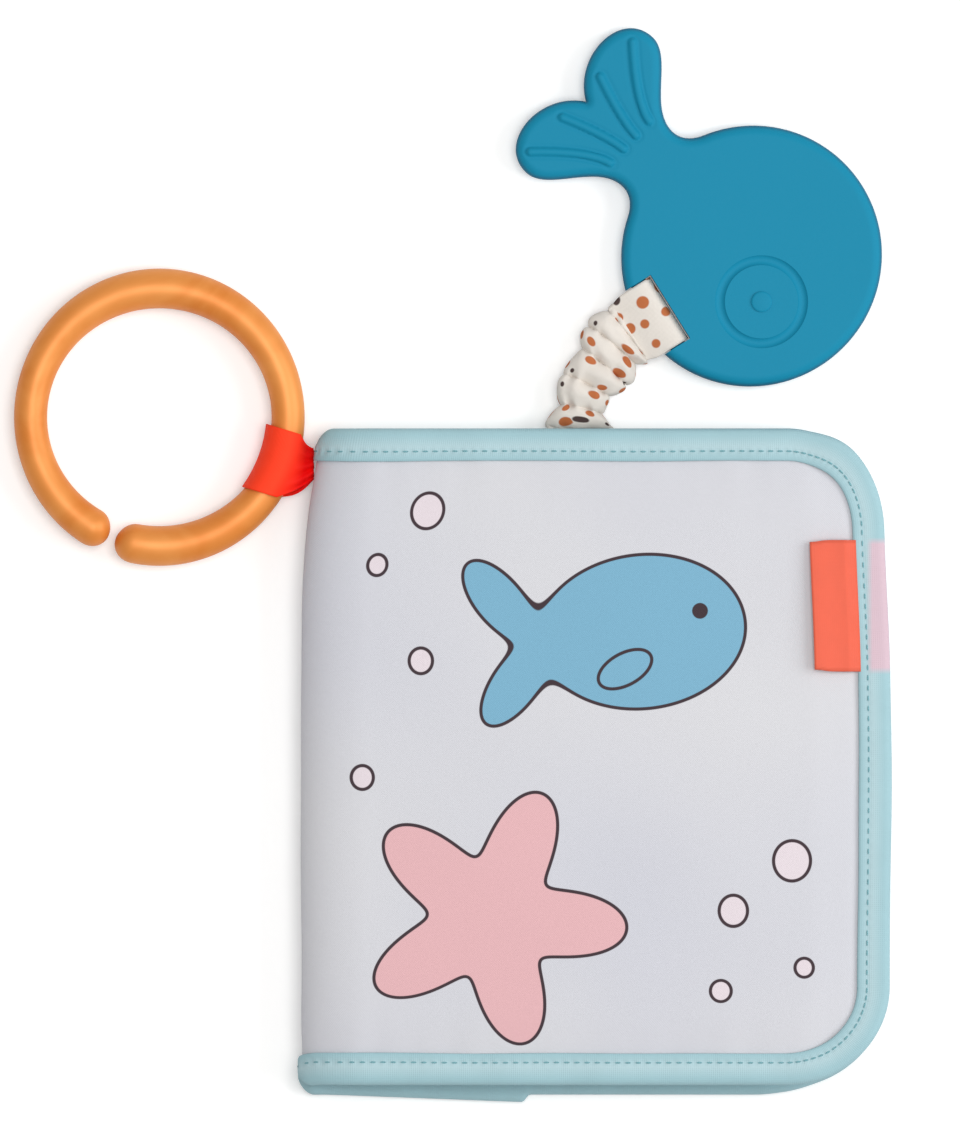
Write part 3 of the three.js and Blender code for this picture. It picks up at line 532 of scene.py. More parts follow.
def fore_bow(x, y):
    """How far cloth near the fore edge lies out of line: a bell outward in the edge's middle, and inward
    by a smooth step towards its upper corner."""
    bell = 0.5 * MM * np.exp(-((y + 5 * MM) / (22 * MM)) ** 2)
    pull = 1.4 * MM * smooth_step(y, 20 * MM, 62 * MM)
    return (bell - pull) * smooth_step(x, FORE_EDGE - 40 * MM, FORE_EDGE)


def rounded_inset(over_x, over_y, radius):
    """The distance in from an outline with rounded corners.

    over_x and over_y say how far a point lies past the corners' centres, along each axis.
    """
    outside = np.hypot(np.maximum(over_x, 0), np.maximum(over_y, 0))
    return radius - np.where((over_x > 0) & (over_y > 0), outside, np.maximum(over_x, over_y))


def rounded_panel(left, right, half, radius, rows, columns):
    """X and Y over a panel from left to right whose two right-hand corners are quarter circles."""
    y = np.linspace(-1, 1, rows) * half
    over = np.maximum(np.abs(y) - (half - radius), 0)
    end = right - radius + np.sqrt(np.maximum(radius ** 2 - over ** 2, 0))
    x = left + (end - left) * np.linspace(0, 1, columns)[:, None]
    return x, np.broadcast_to(y, x.shape)


# The cover laid flat and folded

class Fold:
    """The book's cover as one flat piece, and where each flat point lies once it is folded round.

    s runs from the front cover's fore edge to the back cover's and y along the spine. e is 0 on the
    outer side and 1 on the lining's side, and h is the height above the seam on that side.
    """

    # Half the covers' thickness at their seams
    seam = 1.0 * MM
    # How far the lining lies in from the spine's wall, and how far it drops in its turn to the back
    inner_wall = 1.1 * MM
    inner_drop = 3.1 * MM
    # Flat length of a turn round the spine for each unit of its reach
    arc_share = 1.24
    # Where on the first turn the cloth bends open, and how far from there its points lie closer
    opening_share = 0.56
    bend_reach = 4.5 * MM

    def __init__(self, sizes):
        self.sizes = sizes
        self.flat_x = SPINE_X + sizes.spine_fold
        self.panel = FORE_EDGE - self.flat_x
        self.arc = self.arc_share * sizes.spine_fold
        self.bend = self.panel + self.arc
        self.wall = sizes.turn_height - BACK_MID - COVER_HALF
        self.width = 2 * self.bend + self.wall
        self.opening = self.panel + self.opening_share * self.arc

    def lean(self, y):
        """How far the spine is drawn in: a power of the nearness to its top end."""
        near = np.clip((y - HALF_HEIGHT) / self.sizes.lean_length + 1, 0, 1)
        return self.sizes.spine_lean * near ** 1.6

    def stages(self, s):
        """How much of the front, first turn, wall, second turn and back lies before s."""
        starts = np.cumsum([0, self.panel, self.arc, self.wall, self.arc])
        spans = [self.panel, self.arc, self.wall, self.arc, self.panel]
        return [np.clip((s - start) / span, 0, 1) for start, span in zip(starts, spans)]

    def walled(self, s):
        """0 on the panels and 1 on the spine's wall."""
        _, first, _, second, _ = self.stages(s)
        return smooth_step(first, 0, 1) * (1 - smooth_step(second, 0, 1))

    def profile(self, s, y, reach, wide, top, turn, low, sink):
        """X and Z across the folded cover.

        X runs in from the fore edge, round the spine by the sine and cosine of a quarter turn, and back.
        The front falls from top to turn in a wide quarter ellipse, the wall goes straight from turn to
        low, and the back lies under it by sink.
        """
        front, first, down, second, back = self.stages(s)
        run = self.panel - self.lean(y)
        one, two = first * math.pi / 2, second * math.pi / 2
        x = FORE_EDGE - run * front - reach * np.sin(one) + reach * (1 - np.cos(two)) + run * back
        near = np.clip(1 - (x - FORE_EDGE + run + reach) / wide, 0, 1)
        z_front = turn + (top - turn) * np.sqrt(1 - near ** 2)
        z_rest = turn - (turn - low) * down - sink * np.sin(two)
        return x, np.where(s < self.bend, z_front, z_rest)

    def path(self, s, y, *shape):
        """A point of the profile and the outward normal there, square to the profile's course."""
        step = 0.05 * MM
        x, z = self.profile(s, y, *shape)
        (x_before, z_before), (x_after, z_after) = (self.profile(s + d, y, *shape) for d in (-step, step))
        course = unit(stacked(z_after - z_before, 0 * y, x_before - x_after))
        return stacked(x + fore_bow(x, y), y + self.slip(s, y), z), course

    def slip(self, s, y):
        """How far cloth has slipped along Y: up at the front cover's lower edge, down at the back's, up at
        the fore corners, and inward at the spine's ends, where the binding's corners are rounded."""
        sizes = self.sizes
        _, first, _, second, _ = self.stages(s)
        x = FORE_EDGE - np.minimum(s, self.width - s)
        left, right = SPINE_X + 6 * MM, FORE_EDGE - 32 * MM
        fades, full = 0.5 * HALF_HEIGHT, 0.97 * HALF_HEIGHT
        low_end, top_end = smooth_step(-y, fades, full), smooth_step(y, fades, full)
        rise = sizes.front_rise * (1 - smooth_step(x, right, right + 18 * MM))
        hang = np.clip((x - left) / (FLAP_END - left), 0, 1)
        hang = hang * (1 - smooth_step(x, FLAP_END, FLAP_END + 2 * MM))
        front = 1 - smooth_step(s, self.panel + 0.4 * self.arc, self.width - self.bend)
        sag = np.where(s > self.width / 2, sizes.back_drop + sizes.back_sag * hang, 0)
        low_lift = sizes.corner_lift * smooth_step(x, right, right + 16 * MM)
        top_lift = 1.15 * sizes.corner_lift * smooth_step(x, FORE_EDGE - 20 * MM, FORE_EDGE - 6 * MM)
        shift = (rise * front + low_lift - sag) * low_end + top_lift * top_end
        turned = np.where(second > 0, np.cos(second * math.pi / 2), np.sin(first * math.pi / 2))
        outermost = np.clip(1 - sizes.spine_fold * (1 - turned) / sizes.corner_reach, 0, 1)
        drawn = 1 - np.sqrt(1 - outermost ** 2)
        near_end = smooth_step(np.abs(y), HALF_HEIGHT - 5 * MM, HALF_HEIGHT)
        rounding = np.where(y > 0, -sizes.top_round, sizes.low_round)
        return shift + drawn * near_end * rounding

    def outer(self, s, y):
        """The path of the seam on the outer side."""
        sizes = self.sizes
        low = BACK_MID + COVER_HALF
        return self.path(
            s, y, sizes.spine_fold, sizes.spine_round, FRONT_MID + self.seam, sizes.turn_height, low,
            low - BACK_MID + self.seam)

    def inner(self, s, y):
        """The path of the seam on the lining's side."""
        sizes = self.sizes
        sink = self.inner_drop
        return self.path(
            s, y, sizes.spine_fold - self.inner_wall, sizes.spine_round - self.inner_wall,
            FRONT_MID - self.seam, sizes.turn_height, BACK_MID + self.seam + sink, sink)

    def at(self, s, y, e, h):
        """The folded place of a flat point."""
        s, y, e, h = np.broadcast_arrays(*(np.asarray(v, float) for v in (s, y, e, h)))
        outer, outward = self.outer(s, y)
        inner, inward = self.inner(s, y)
        e, h = e[..., None], h[..., None]
        return (outer + h * outward) * (1 - e) + (inner - h * inward) * e

    def inset(self, s, y):
        """The distance to the flat cover's outline, with its rounded corners."""
        radius = self.sizes.corner_radius
        over_s = np.abs(s - self.width / 2) - (self.width / 2 - radius)
        return rounded_inset(over_s, np.abs(y) - (HALF_HEIGHT - radius), radius)

    def thinned(self, s):
        """The share of the padding's thickness that is left near the spine, as a quarter ellipse."""
        off_wall = np.abs(s - self.width / 2) - self.wall / 2
        return np.sqrt(1 - np.clip(1 - off_wall / self.sizes.spine_round, 0, 1) ** 2)

    def crown(self, s, y):
        """How far the padding lifts the cloth: a parabola in from the binding, less near the spine."""
        t = np.clip((self.inset(s, y) - self.sizes.tape_width) / self.sizes.crown_length, 0, 1)
        return (COVER_HALF - self.seam) * (1 - (1 - t) ** 2) * self.thinned(s)

    def loop(self, count):
        """The flat outline: straight sides and four quarter circles, in steps that shrink at the bend."""
        radius = self.sizes.corner_radius
        centre = self.width / 2
        parts = []
        for quarter, (side, end) in enumerate([(1, 1), (-1, 1), (-1, -1), (1, -1)]):
            angle = np.linspace(quarter, quarter + 1, 40) * math.pi / 2
            s = centre + side * (centre - radius) + radius * np.cos(angle)
            y = end * (HALF_HEIGHT - radius) + radius * np.sin(angle)
            parts.append(np.stack([s, y, angle], -1))
        points = np.concatenate([*parts, parts[0][:1] + [0, 0, TAU]])
        along = run_of(points[:, :2])
        fine = np.linspace(0, along[-1], 40 * count)
        near = np.abs(np.interp(fine, along, points[:, 0]) - self.opening) < self.bend_reach
        effort = np.concatenate([[0], np.cumsum(1 + 2.5 * near[1:])])
        target = np.interp(np.arange(count) / count * effort[-1], effort, fine)
        s, y, angle = (np.interp(target, along, points[:, k]) for k in range(3))
        return s, y, angle, target, along[-1]


def cover_grid(fold, columns, rows):
    """s and y over the cover's cloth, which follows the binding's corners, closer together at the bend."""
    under_tape = 1.2 * MM
    crowding = 0.75 * math.pi / 2
    y = np.sin(np.linspace(-1, 1, rows) * crowding) / math.sin(crowding) * (HALF_HEIGHT - under_tape)
    radius = fold.sizes.corner_radius
    over = np.maximum(np.abs(y) - (HALF_HEIGHT - radius), 0)
    start = radius - np.sqrt(np.maximum((radius - under_tape) ** 2 - over ** 2, 0))
    bent = fold.opening + fold.bend_reach * np.linspace(-1, 1, 36)
    across = np.unique(np.concatenate([np.linspace(0, 1, columns), bent / fold.width]))
    s = start + (fold.width - 2 * start) * across[:, None]
    return s, np.broadcast_to(y, s.shape)


def cover_lift(fold, s, y, seed):
    """Soft unevenness of padded cloth, with puckers that fade away from the binding."""
    tape = fold.sizes.tape_width
    inset = fold.inset(s, y)
    pucker = ripple(s, 0 * y, 11 * MM, seed) * np.exp(-np.maximum(inset - tape, 0) / (9 * MM))
    wavy = ripple(s, y, 46 * MM, seed + 1) * smooth_step(inset, tape, 3 * tape)
    return (0.16 * pucker + 0.22 * wavy - 0.1) * MM


# Finishes

# Each bubble's middle on the front cover and its radius, in millimetres
BUBBLES = [
    ((-42, 60), 3.9), ((-53, 47), 2.3), ((-42, 24), 2.8), ((33, -36), 3.4), ((47, -24), 4.4),
    ((30, -56), 2.5), ((50, -50), 2.2), ((-56, -4), 2.6),
]


def starfish(x, y):
    """Distance to a soft five-armed star: its radius waves five times round its middle."""
    centre = (-25 * MM, -38 * MM)
    radius, wave, arms, tilt = 24 * MM, 8.5 * MM, 5, 0.35
    u, v = x - centre[0], y - centre[1]
    reach = (u * u + v * v).root()
    angle = u.maths("ARCTAN2", v, u) * arms + tilt
    edge = angle.maths("COSINE", angle) * wave + radius
    slope = angle.wave() * (wave * arms) / reach.most(wave)
    return (reach - edge) / (slope * slope + 1).root()


def fish(x, y):
    """Distances to a plain fish's body with its forked tail, its side fin and its dot of an eye."""
    body = ellipse(x, y, (11 * MM, 31 * MM), (25 * MM, 18.5 * MM), 0.1)
    upper = ellipse(x, y, (-23 * MM, 38 * MM), (12.5 * MM, 5.6 * MM), -0.85)
    lower = ellipse(x, y, (-19 * MM, 19 * MM), (12.5 * MM, 5.6 * MM), 0.95)
    body = merged(merged(upper, lower, 7 * MM), body, 9 * MM)
    fin = ellipse(x, y, (7 * MM, 22 * MM), (7 * MM, 3.8 * MM), 0.5)
    eye = ellipse(x, y, (25 * MM, 36 * MM), (1.9 * MM, 1.9 * MM))
    return body, fin, eye


def cover_finish(name, colours):
    """Pale printed cloth: soft patches, a starfish, a fish and bubbles in outline over a fine weave."""
    finish = Finish(name)
    place = finish.cloth_place()
    x, y, _ = finish.parts(place)
    patches = finish.noise(place, 12, 1, 0.4).stretched(2.2, -0.7)
    paint = finish.mix(patches, linear(colours.cover), linear(colours.cover_shade))
    line, soft = 0.4 * MM, 0.16 * MM
    ink = linear(colours.ink)
    body, fin, eye = fish(x, y)
    shapes = [
        (ellipse(x, y, [c * MM for c in centre], (radius * MM, radius * 1.1 * MM)), colours.bubble)
        for centre, radius in BUBBLES]
    shapes += [(starfish(x, y), colours.star), (body, colours.fish), (fin, colours.fish)]
    for distance, fill in shapes:
        filled = finish.mix(distance.within(0, soft), paint, linear(fill))
        paint = finish.mix(abs(distance).within(line, soft), filled, ink)
    paint = finish.mix(eye.within(0, soft), paint, ink)
    return finish.woven(paint, 0.78, place, finish.noise(place, 320, 2, 0.6) * 1.5)


def page_finish(name, colour, wave_colour):
    """Page cloth printed with rows of soft waves."""
    finish = Finish(name)
    place = finish.cloth_place()
    x, y, _ = finish.parts(place)
    swell = x.wave(22 * MM) * (2.2 * MM)
    bands = (y + swell).wave(24 * MM).stretched(9.0, -3.5)
    paint = finish.mix(bands * 0.75, linear(colour), linear(wave_colour))
    return finish.woven(paint, 0.8, place, finish.noise(place, 300, 2, 0.6) * 1.5)


def tape_finish(name, colours):
    """Aqua binding: fine ribs across the tape, slight unevenness, a painted highlight along its middle
    band, and a faint blush by the label.
    """
    finish = Finish(name)
    along, across, _ = finish.parts(finish.cloth_place())
    spot = finish.place()
    px, py, pz = finish.parts(spot)
    uneven = finish.noise(spot, 90, 3, 0.6)
    base = finish.darker(uneven.stretched(0.9, -0.25), colours.binding, 0.86)
    beside = abs(py - middle("side_label", 1)).within(15.6 * MM, 1.6 * MM)
    outer = (-px).within(4.9 * MM - FORE_EDGE, 1.4 * MM)
    high = (-pz).within(-FRONT_MID, 1.0 * MM)
    # Painted highlight: the tape's colour is mixed a little towards white along a band in the middle of its
    # width.
    painted_ridge_highlight = abs(across - 3.9 * MM).within(1.4 * MM, 2.6 * MM)
    lit = finish.mix(painted_ridge_highlight * 0.13, base, (1, 1, 1))
    paint = finish.mix(beside * outer * high * 0.8, lit, linear(colours.blush))
    ribs = along.wave(0.5 * MM) * 0.6 + across.wave(0.5 * MM) * 0.4
    return finish.done(
        Base_Color=paint, Roughness=0.72, Normal=finish.bump(ribs + uneven * 2, 0.03 * MM),
        Specular_IOR_Level=0.3)


def thread_finish(name, colour):
    """Twisted thread: slanting bands along the stitch."""
    finish = Finish(name)
    x, y, z = finish.parts(finish.place())
    twist = (x + y + z).wave(0.45 * MM)
    return finish.done(
        Base_Color=finish.darker(twist * 0.2 + 0.3, colour, 0.6), Roughness=0.6,
        Normal=finish.bump(twist, 0.04 * MM))


def foam_finish(name, colour):
    """Open foam: fine pores."""
    finish = Finish(name)
    cells = finish.node("ShaderNodeTexVoronoi", None, {"Vector": finish.place(), "Scale": 900})
    paint = finish.mix(cells * 0.6, linear(colour), (0.6, 0.58, 0.5))
    return finish.done(Base_Color=paint, Roughness=0.95, Normal=finish.bump(cells, 0.2 * MM))


def pearl_finish(name, colours):
    """Pearly plastic: flowing lighter bands in a warm gloss."""
    finish = Finish(name)
    place = finish.place()
    flow = finish.noise(place, 34, 3, 0.55, 1.6)
    fine = finish.noise(place, 140, 2, 0.6, 0.5)
    glow = flow.stretched(2.4, -0.85) * 0.55 + fine * 0.1
    return finish.done(
        Base_Color=finish.mix(glow, linear(colours.ring), linear(colours.ring_glow)), Metallic=0.25,
        Roughness=fine * 0.1 + 0.45, Coat_Weight=0.08, Coat_Roughness=0.35)


def satin_finish(name, colour, pitch, sheen):
    """Satin tape: fine ribs across it and a soft shine."""
    finish = Finish(name)
    place = finish.cloth_place()
    along, across, _ = finish.parts(place)
    paint = finish.darker(finish.noise(place, 200, 2, 0.5) * 0.35, colour, 0.7)
    height = along.wave(pitch) + across.wave(2 * pitch) * 0.5
    return finish.done(
        Base_Color=paint, Roughness=0.5, Normal=finish.bump(height, 0.02 * MM), Sheen_Weight=sheen)


def ribbon_finish(name, colours):
    """Satin, orange red round the ring, with painted shade that deepens it to pure red at its gathered
    neck.
    """
    finish = Finish(name)
    place = finish.cloth_place()
    _, along, _ = finish.parts(place)
    # Painted shade: the gathered neck is coloured a deeper, more saturated red than the loop.
    neck_shade = along.within(5.5 * MM, 6 * MM)
    paint = finish.mix(neck_shade, linear(colours.ribbon), linear(colours.ribbon_neck_shade))
    height = along.wave(0.32 * MM) + finish.noise(place, 200, 2, 0.5)
    return finish.done(
        Base_Color=paint, Roughness=0.6, Normal=finish.bump(height, 0.02 * MM), Specular_IOR_Level=0.2)


def silicone_finish(name, colours):
    """Matte silicone with a faint moulded grain and a painted shade line along its rounded rim."""
    finish = Finish(name)
    inset, _, _ = finish.parts(finish.cloth_place())
    place = finish.place()
    grain = finish.noise(place, 1400, 2, 0.6)
    body = finish.darker(finish.noise(place, 25, 2, 0.5) * 0.25, colours.teether, 0.84)
    # Painted shade: the colour darkens to the rim colour within a millimetre of the outline.
    paint = finish.mix(inset.within(0.5 * MM, 0.7 * MM), body, linear(colours.teether_rim_shade))
    return finish.done(
        Base_Color=paint, Roughness=grain * 0.08 + 0.55, Normal=finish.bump(grain, 0.02 * MM),
        Specular_IOR_Level=0.12)


def dotted_finish(name, colours):
    """Cream cloth with one dot to a cell: most orange brown and some dark, of uneven size."""
    finish = Finish(name)
    place = finish.cloth_place()
    distance, shade = (
        finish.node(
            "ShaderNodeTexVoronoi", {"voronoi_dimensions": "2D"},
            {"Vector": place, "Scale": 1 / (5.6 * MM), "Randomness": 0.7}, output)
        for output in ("Distance", "Color"))
    pick, size, _ = finish.parts(shade)
    dark = (-pick).within(-0.68, 0.01)
    spot = (distance + dark * 0.09).within(0, 0.05, size * 0.12 + 0.19)
    mottle = finish.noise(place, 500, 2, 0.6)
    dots = finish.mix(dark, linear(colours.dot), linear(colours.dark_dot))
    paint = finish.mix(spot, finish.darker(mottle * 0.2, colours.strap, 0.8), dots)
    return finish.woven(paint, 0.8, place, mottle * 2, 0.4 * MM, 0.04 * MM)


def plain_finish(name, colour, roughness, alpha):
    """Smooth plastic with slight unevenness of gloss."""
    finish = Finish(name)
    cloudy = finish.noise(finish.place(), 120, 2, 0.5)
    paint = finish.darker(cloudy * 0.2, colour, 0.9)
    return finish.done(Base_Color=paint, Roughness=cloudy * 0.1 + roughness, Alpha=alpha)


def finish_named(name, make, *terms):
    """A material that is made once."""
    return bpy.data.materials.get("finish_" + name) or make(name, *terms)


def settle(item, nodes=(), body=None, blend=None):
    """Hides the frame's nodes that a piece stands for, and parents the piece to the empty of the body that
    it moves with, or bakes its place into its mesh when a blend is given.
    """
    if nodes:
        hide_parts(*nodes)
    if blend:
        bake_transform(item)
    else:
        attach(item, body)
    return item


class Builder:
    """Builds pieces from the scene's sizes and colours: the book's, unless a class names the toy's."""
    kind = "book"

    def execute(self, context):
        scene = context.scene
        self.build(getattr(scene, self.kind + "_sizes"), getattr(scene, self.kind + "_colours"))
        return {"FINISHED"}


class BuildCover(Builder, bpy.types.Operator):
    """One padded cloth over the front cover, round the spine and under the back cover"""
    bl_idname = "bath_book.cover"
    bl_label = "Cover cloth"

    def build(self, sizes, colours):
        fold = Fold(sizes)
        s, y = cover_grid(fold, 290, 150)
        back_start = fold.width - fold.panel
        lift = cover_lift(fold, s, y, 11) * (1 - smooth_step(s, back_start, back_start + 10 * MM))
        over = fold.at(s, y, 0, fold.crown(s, y) + lift)
        over[..., 2] = np.maximum(over[..., 2], 0)
        material = finish_named("cover_cloth", cover_finish, colours)
        under = over - facing(over) * sizes.cloth
        item = slab("cover_cloth", over, under, material, stacked(FORE_EDGE - s, y))
        nodes = ("back_outer_skin", "spine_skin", "front_outer_skin")
        settle(item, nodes, blend=COVER_BLEND)
        fold.width * 2 * HALF_HEIGHT * 0.97


class BuildLining(Builder, bpy.types.Operator):
    """The printed inner cloth of both covers, in one piece across the spine"""
    bl_idname = "bath_book.lining"
    bl_label = "Lining"

    def build(self, sizes, colours):
        fold = Fold(sizes)
        s, y = cover_grid(fold, 240, 120)
        lift = cover_lift(fold, s, y, 31) * (1 - fold.walled(s)) * 0.5
        face = fold.at(s, y, 1, np.minimum(fold.crown(s, y) + lift, COVER_HALF - fold.seam - 0.02 * MM))
        material = finish_named("lining_cloth", page_finish, colours.page, colours.fish)
        under = face - facing(face, -UP) * sizes.cloth
        item = slab("lining_cloth", face, under, material, stacked(FORE_EDGE - s, y))
        settle(item, ("back_lining", "spine_lining", "front_lining"), blend=COVER_BLEND)
        fold.width * 2 * HALF_HEIGHT * 0.95


class BuildPadding(Builder, bpy.types.Operator):
    """The foam inside both covers"""
    bl_idname = "bath_book.padding"
    bl_label = "Cover padding"

    def build(self, sizes, colours):
        fold = Fold(sizes)
        material = finish_named("padding_foam", foam_finish, colours.foam)
        tape = sizes.tape_rise
        x, y = rounded_panel(
            fold.flat_x, FORE_EDGE - tape, HALF_HEIGHT - tape, sizes.corner_radius - tape, 70, 60)
        share = 0.6
        for side, body, s in (
                ("front", "front_cover", FORE_EDGE - x), ("back", "root", fold.width - FORE_EDGE + x)):
            lift = (fold.crown(s, y) + 0.4 * MM) / share - fold.seam
            faces = [fold.at(s, y, 0.5 + way * share / 2, lift) for way in (-1, 1)]
            item = slab(side + "_padding_foam", *faces, material, stacked(x, y))
            settle(item, (side + "_padding",), body=body)


def tape_section(width, rise, edge, points):
    """A channel of tape in section: distance in from the edge, side from 0 to 1, and height.

    The outer leg has a shallow dome with a dip at the stitches, the edge is a half round, and the
    inner leg mirrors the outer one. Four points on the channel's inside close it.
    """
    leg = np.linspace(1, 0, points + 5)[:-1]
    inward = edge + (width - edge) * leg
    dome = 0.14 * MM * np.sin(math.pi * leg) ** 0.7
    lip = -0.16 * MM * smooth_step(leg, 0.93, 1)
    outer = rise + dome + lip
    angle = np.linspace(math.pi / 2, -math.pi / 2, points + 2)
    hem, floor = 0.25 * rise, 0.2 * rise
    mouth, foot = width - 0.3 * MM, 0.8 * MM
    a = np.concatenate([
        [width], inward, edge * (1 - np.cos(angle)), inward[::-1], [width, mouth, foot, foot, mouth]])
    e = np.concatenate([[0], 0 * leg, (1 - np.sin(angle)) / 2, 0 * leg + 1, [1, 1, 1, 0, 0]])
    h = np.concatenate([[hem], outer, np.full(points + 2, rise), outer[::-1], [hem], [floor] * 4])
    return a, e, h


def stitches(name, place, side, along, lift, thread, material):
    """Small thread capsules: a squashed ellipse section along each stitch, all in one mesh."""
    rings, sides = 5, 6
    count = len(place)
    t = np.linspace(-1, 1, rings)
    turn = np.arange(sides) * TAU / sides
    swell = np.sqrt(np.maximum(1 - 0.92 * t ** 2, 0))
    forward, across, up = along[:, None, None, :], side[:, None, None, :], lift[:, None, None, :]
    half_length, half_width, half_height = thread
    points = (
        place[:, None, None, :]
        + forward * (half_length * t)[None, :, None, None]
        + across * (half_width * swell[:, None] * np.cos(turn))[None, :, :, None]
        + up * (half_height * swell[:, None] * np.sin(turn))[None, :, :, None])
    quads, _ = lattice(rings, sides, False, True)
    start = (np.arange(count) * rings * sides)[:, None, None]
    ends = np.stack([np.arange(sides)[::-1], (rings - 1) * sides + np.arange(sides)])
    faces = [(quads[None] + start).reshape(-1, 4), (ends[None] + start).reshape(-1, sides)]
    return solid(name, points, faces, material)


class BuildBinding(Builder, bpy.types.Operator):
    """The binding tape: one channel folded over the whole edge of the cover, with its stitching"""
    bl_idname = "bath_book.binding"
    bl_label = "Binding"
    edge = 1.9 * MM
    rings = 1560
    thread = (0.66 * MM, 0.24 * MM, 0.15 * MM)

    def build(self, sizes, colours):
        fold = Fold(sizes)
        s, y, angle, along, total = fold.loop(self.rings)
        rise, inset = sizes.tape_rise, sizes.stitch_inset
        a, e, h = tape_section(sizes.tape_width, rise, self.edge, 9)
        number = round(total / sizes.stitch_pitch)
        pitch = total / number

        def place(s, y, angle, along, a, e, h):
            """A point of the tape, pulled in by a groove along the stitches with a dimple at each hole."""
            outer = np.where(h > 0.5 * rise, 1, 0)
            uneven = 0.18 * MM * ripple(along, 0 * along, 40 * MM, 5)
            a = a + uneven * smooth_step(a, self.edge, sizes.tape_width)
            swell = 0.10 * MM * ripple(along, a, 17 * MM, 8)
            groove = np.exp(-((a - inset) / (0.75 * MM)) ** 2)
            dip = groove * (0.16 + 0.12 * np.cos(TAU * along / pitch)) * MM
            return fold.at(s - a * np.cos(angle), y - a * np.sin(angle), e, h + swell * outer - dip * outer)

        columns = [v[:, None] for v in (s, y, angle, along)]
        rings = place(*columns, a[None], e[None], h[None])
        rings[..., 2] = np.maximum(rings[..., 2], 0.05 * MM)
        material = finish_named("binding_tape", tape_finish, colours)
        girth = run_of(stacked(a, h))
        lengths = np.append(along, total)
        uv = stacked(lengths[:, None], np.append(girth, girth[-1] + 0.5 * MM))
        tape = tube("binding_tape", rings, material, uv, loop=True)
        nodes = ("back_binding", "front_binding", "spine_binding_top", "spine_binding_bottom")
        settle(tape, nodes, blend=COVER_BLEND)

        spots = (np.arange(number) + 0.5) * pitch
        closed = np.append(np.stack([s, y, angle]), [[s[0]], [y[0]], [angle[0] + TAU]], axis=1)
        s, y, angle = (np.interp(spots, lengths, v) for v in closed)
        centre = fold.at(s, y, 0.5, 0)
        step = 0.4 * MM
        found = []
        for side in (0, 1):
            spot = place(s, y, angle, spots, inset, side, rise)
            inner = place(s, y, angle, spots, inset + step, side, rise)
            ahead = place(
                s - step * np.sin(angle), y + step * np.cos(angle), angle, spots, inset, side, rise)
            forward = unit(ahead - spot)
            up = unit(np.cross(forward, inner - spot))
            up = np.where(np.einsum("ij,ij->i", up, spot - centre)[:, None] < 0, -up, up)
            spot = spot + up * 0.1 * MM
            spot[:, 2] = np.maximum(spot[:, 2], 0.2 * MM)
            whole = np.abs(spot[:, 2] - PARTING) > 0.8 * MM
            found.append([v[whole] for v in (spot, unit(np.cross(up, forward)), forward, up)])
        seam = stitches(
            "binding_stitches", *(np.concatenate(v) for v in zip(*found)), self.thread,
            finish_named("binding_thread", thread_finish, colours.thread))
        settle(seam, blend=COVER_BLEND)


def leaf_corner(sizes):
    """The radius of the leaves' rounded corners."""
    return sizes.corner_radius - 5 * MM


def leaf_inset(sizes, x, y):
    """The distance from a leaf's point to its three bound edges."""
    radius = leaf_corner(sizes)
    return rounded_inset(x - (LEAF_RIGHT - radius), np.abs(y) - (LEAF_HALF - radius), radius)


def leaf_rise(sizes, pad, inset):
    """Half a leaf's thickness: the seam's at its binding, and from there a parabola up to the padding's."""
    seam_half = 0.25 * MM
    t = np.clip((inset - sizes.leaf_tape_width) / sizes.leaf_crown, 0, 1)
    return seam_half + (pad / 2 - seam_half) * (1 - (1 - t) ** 2)


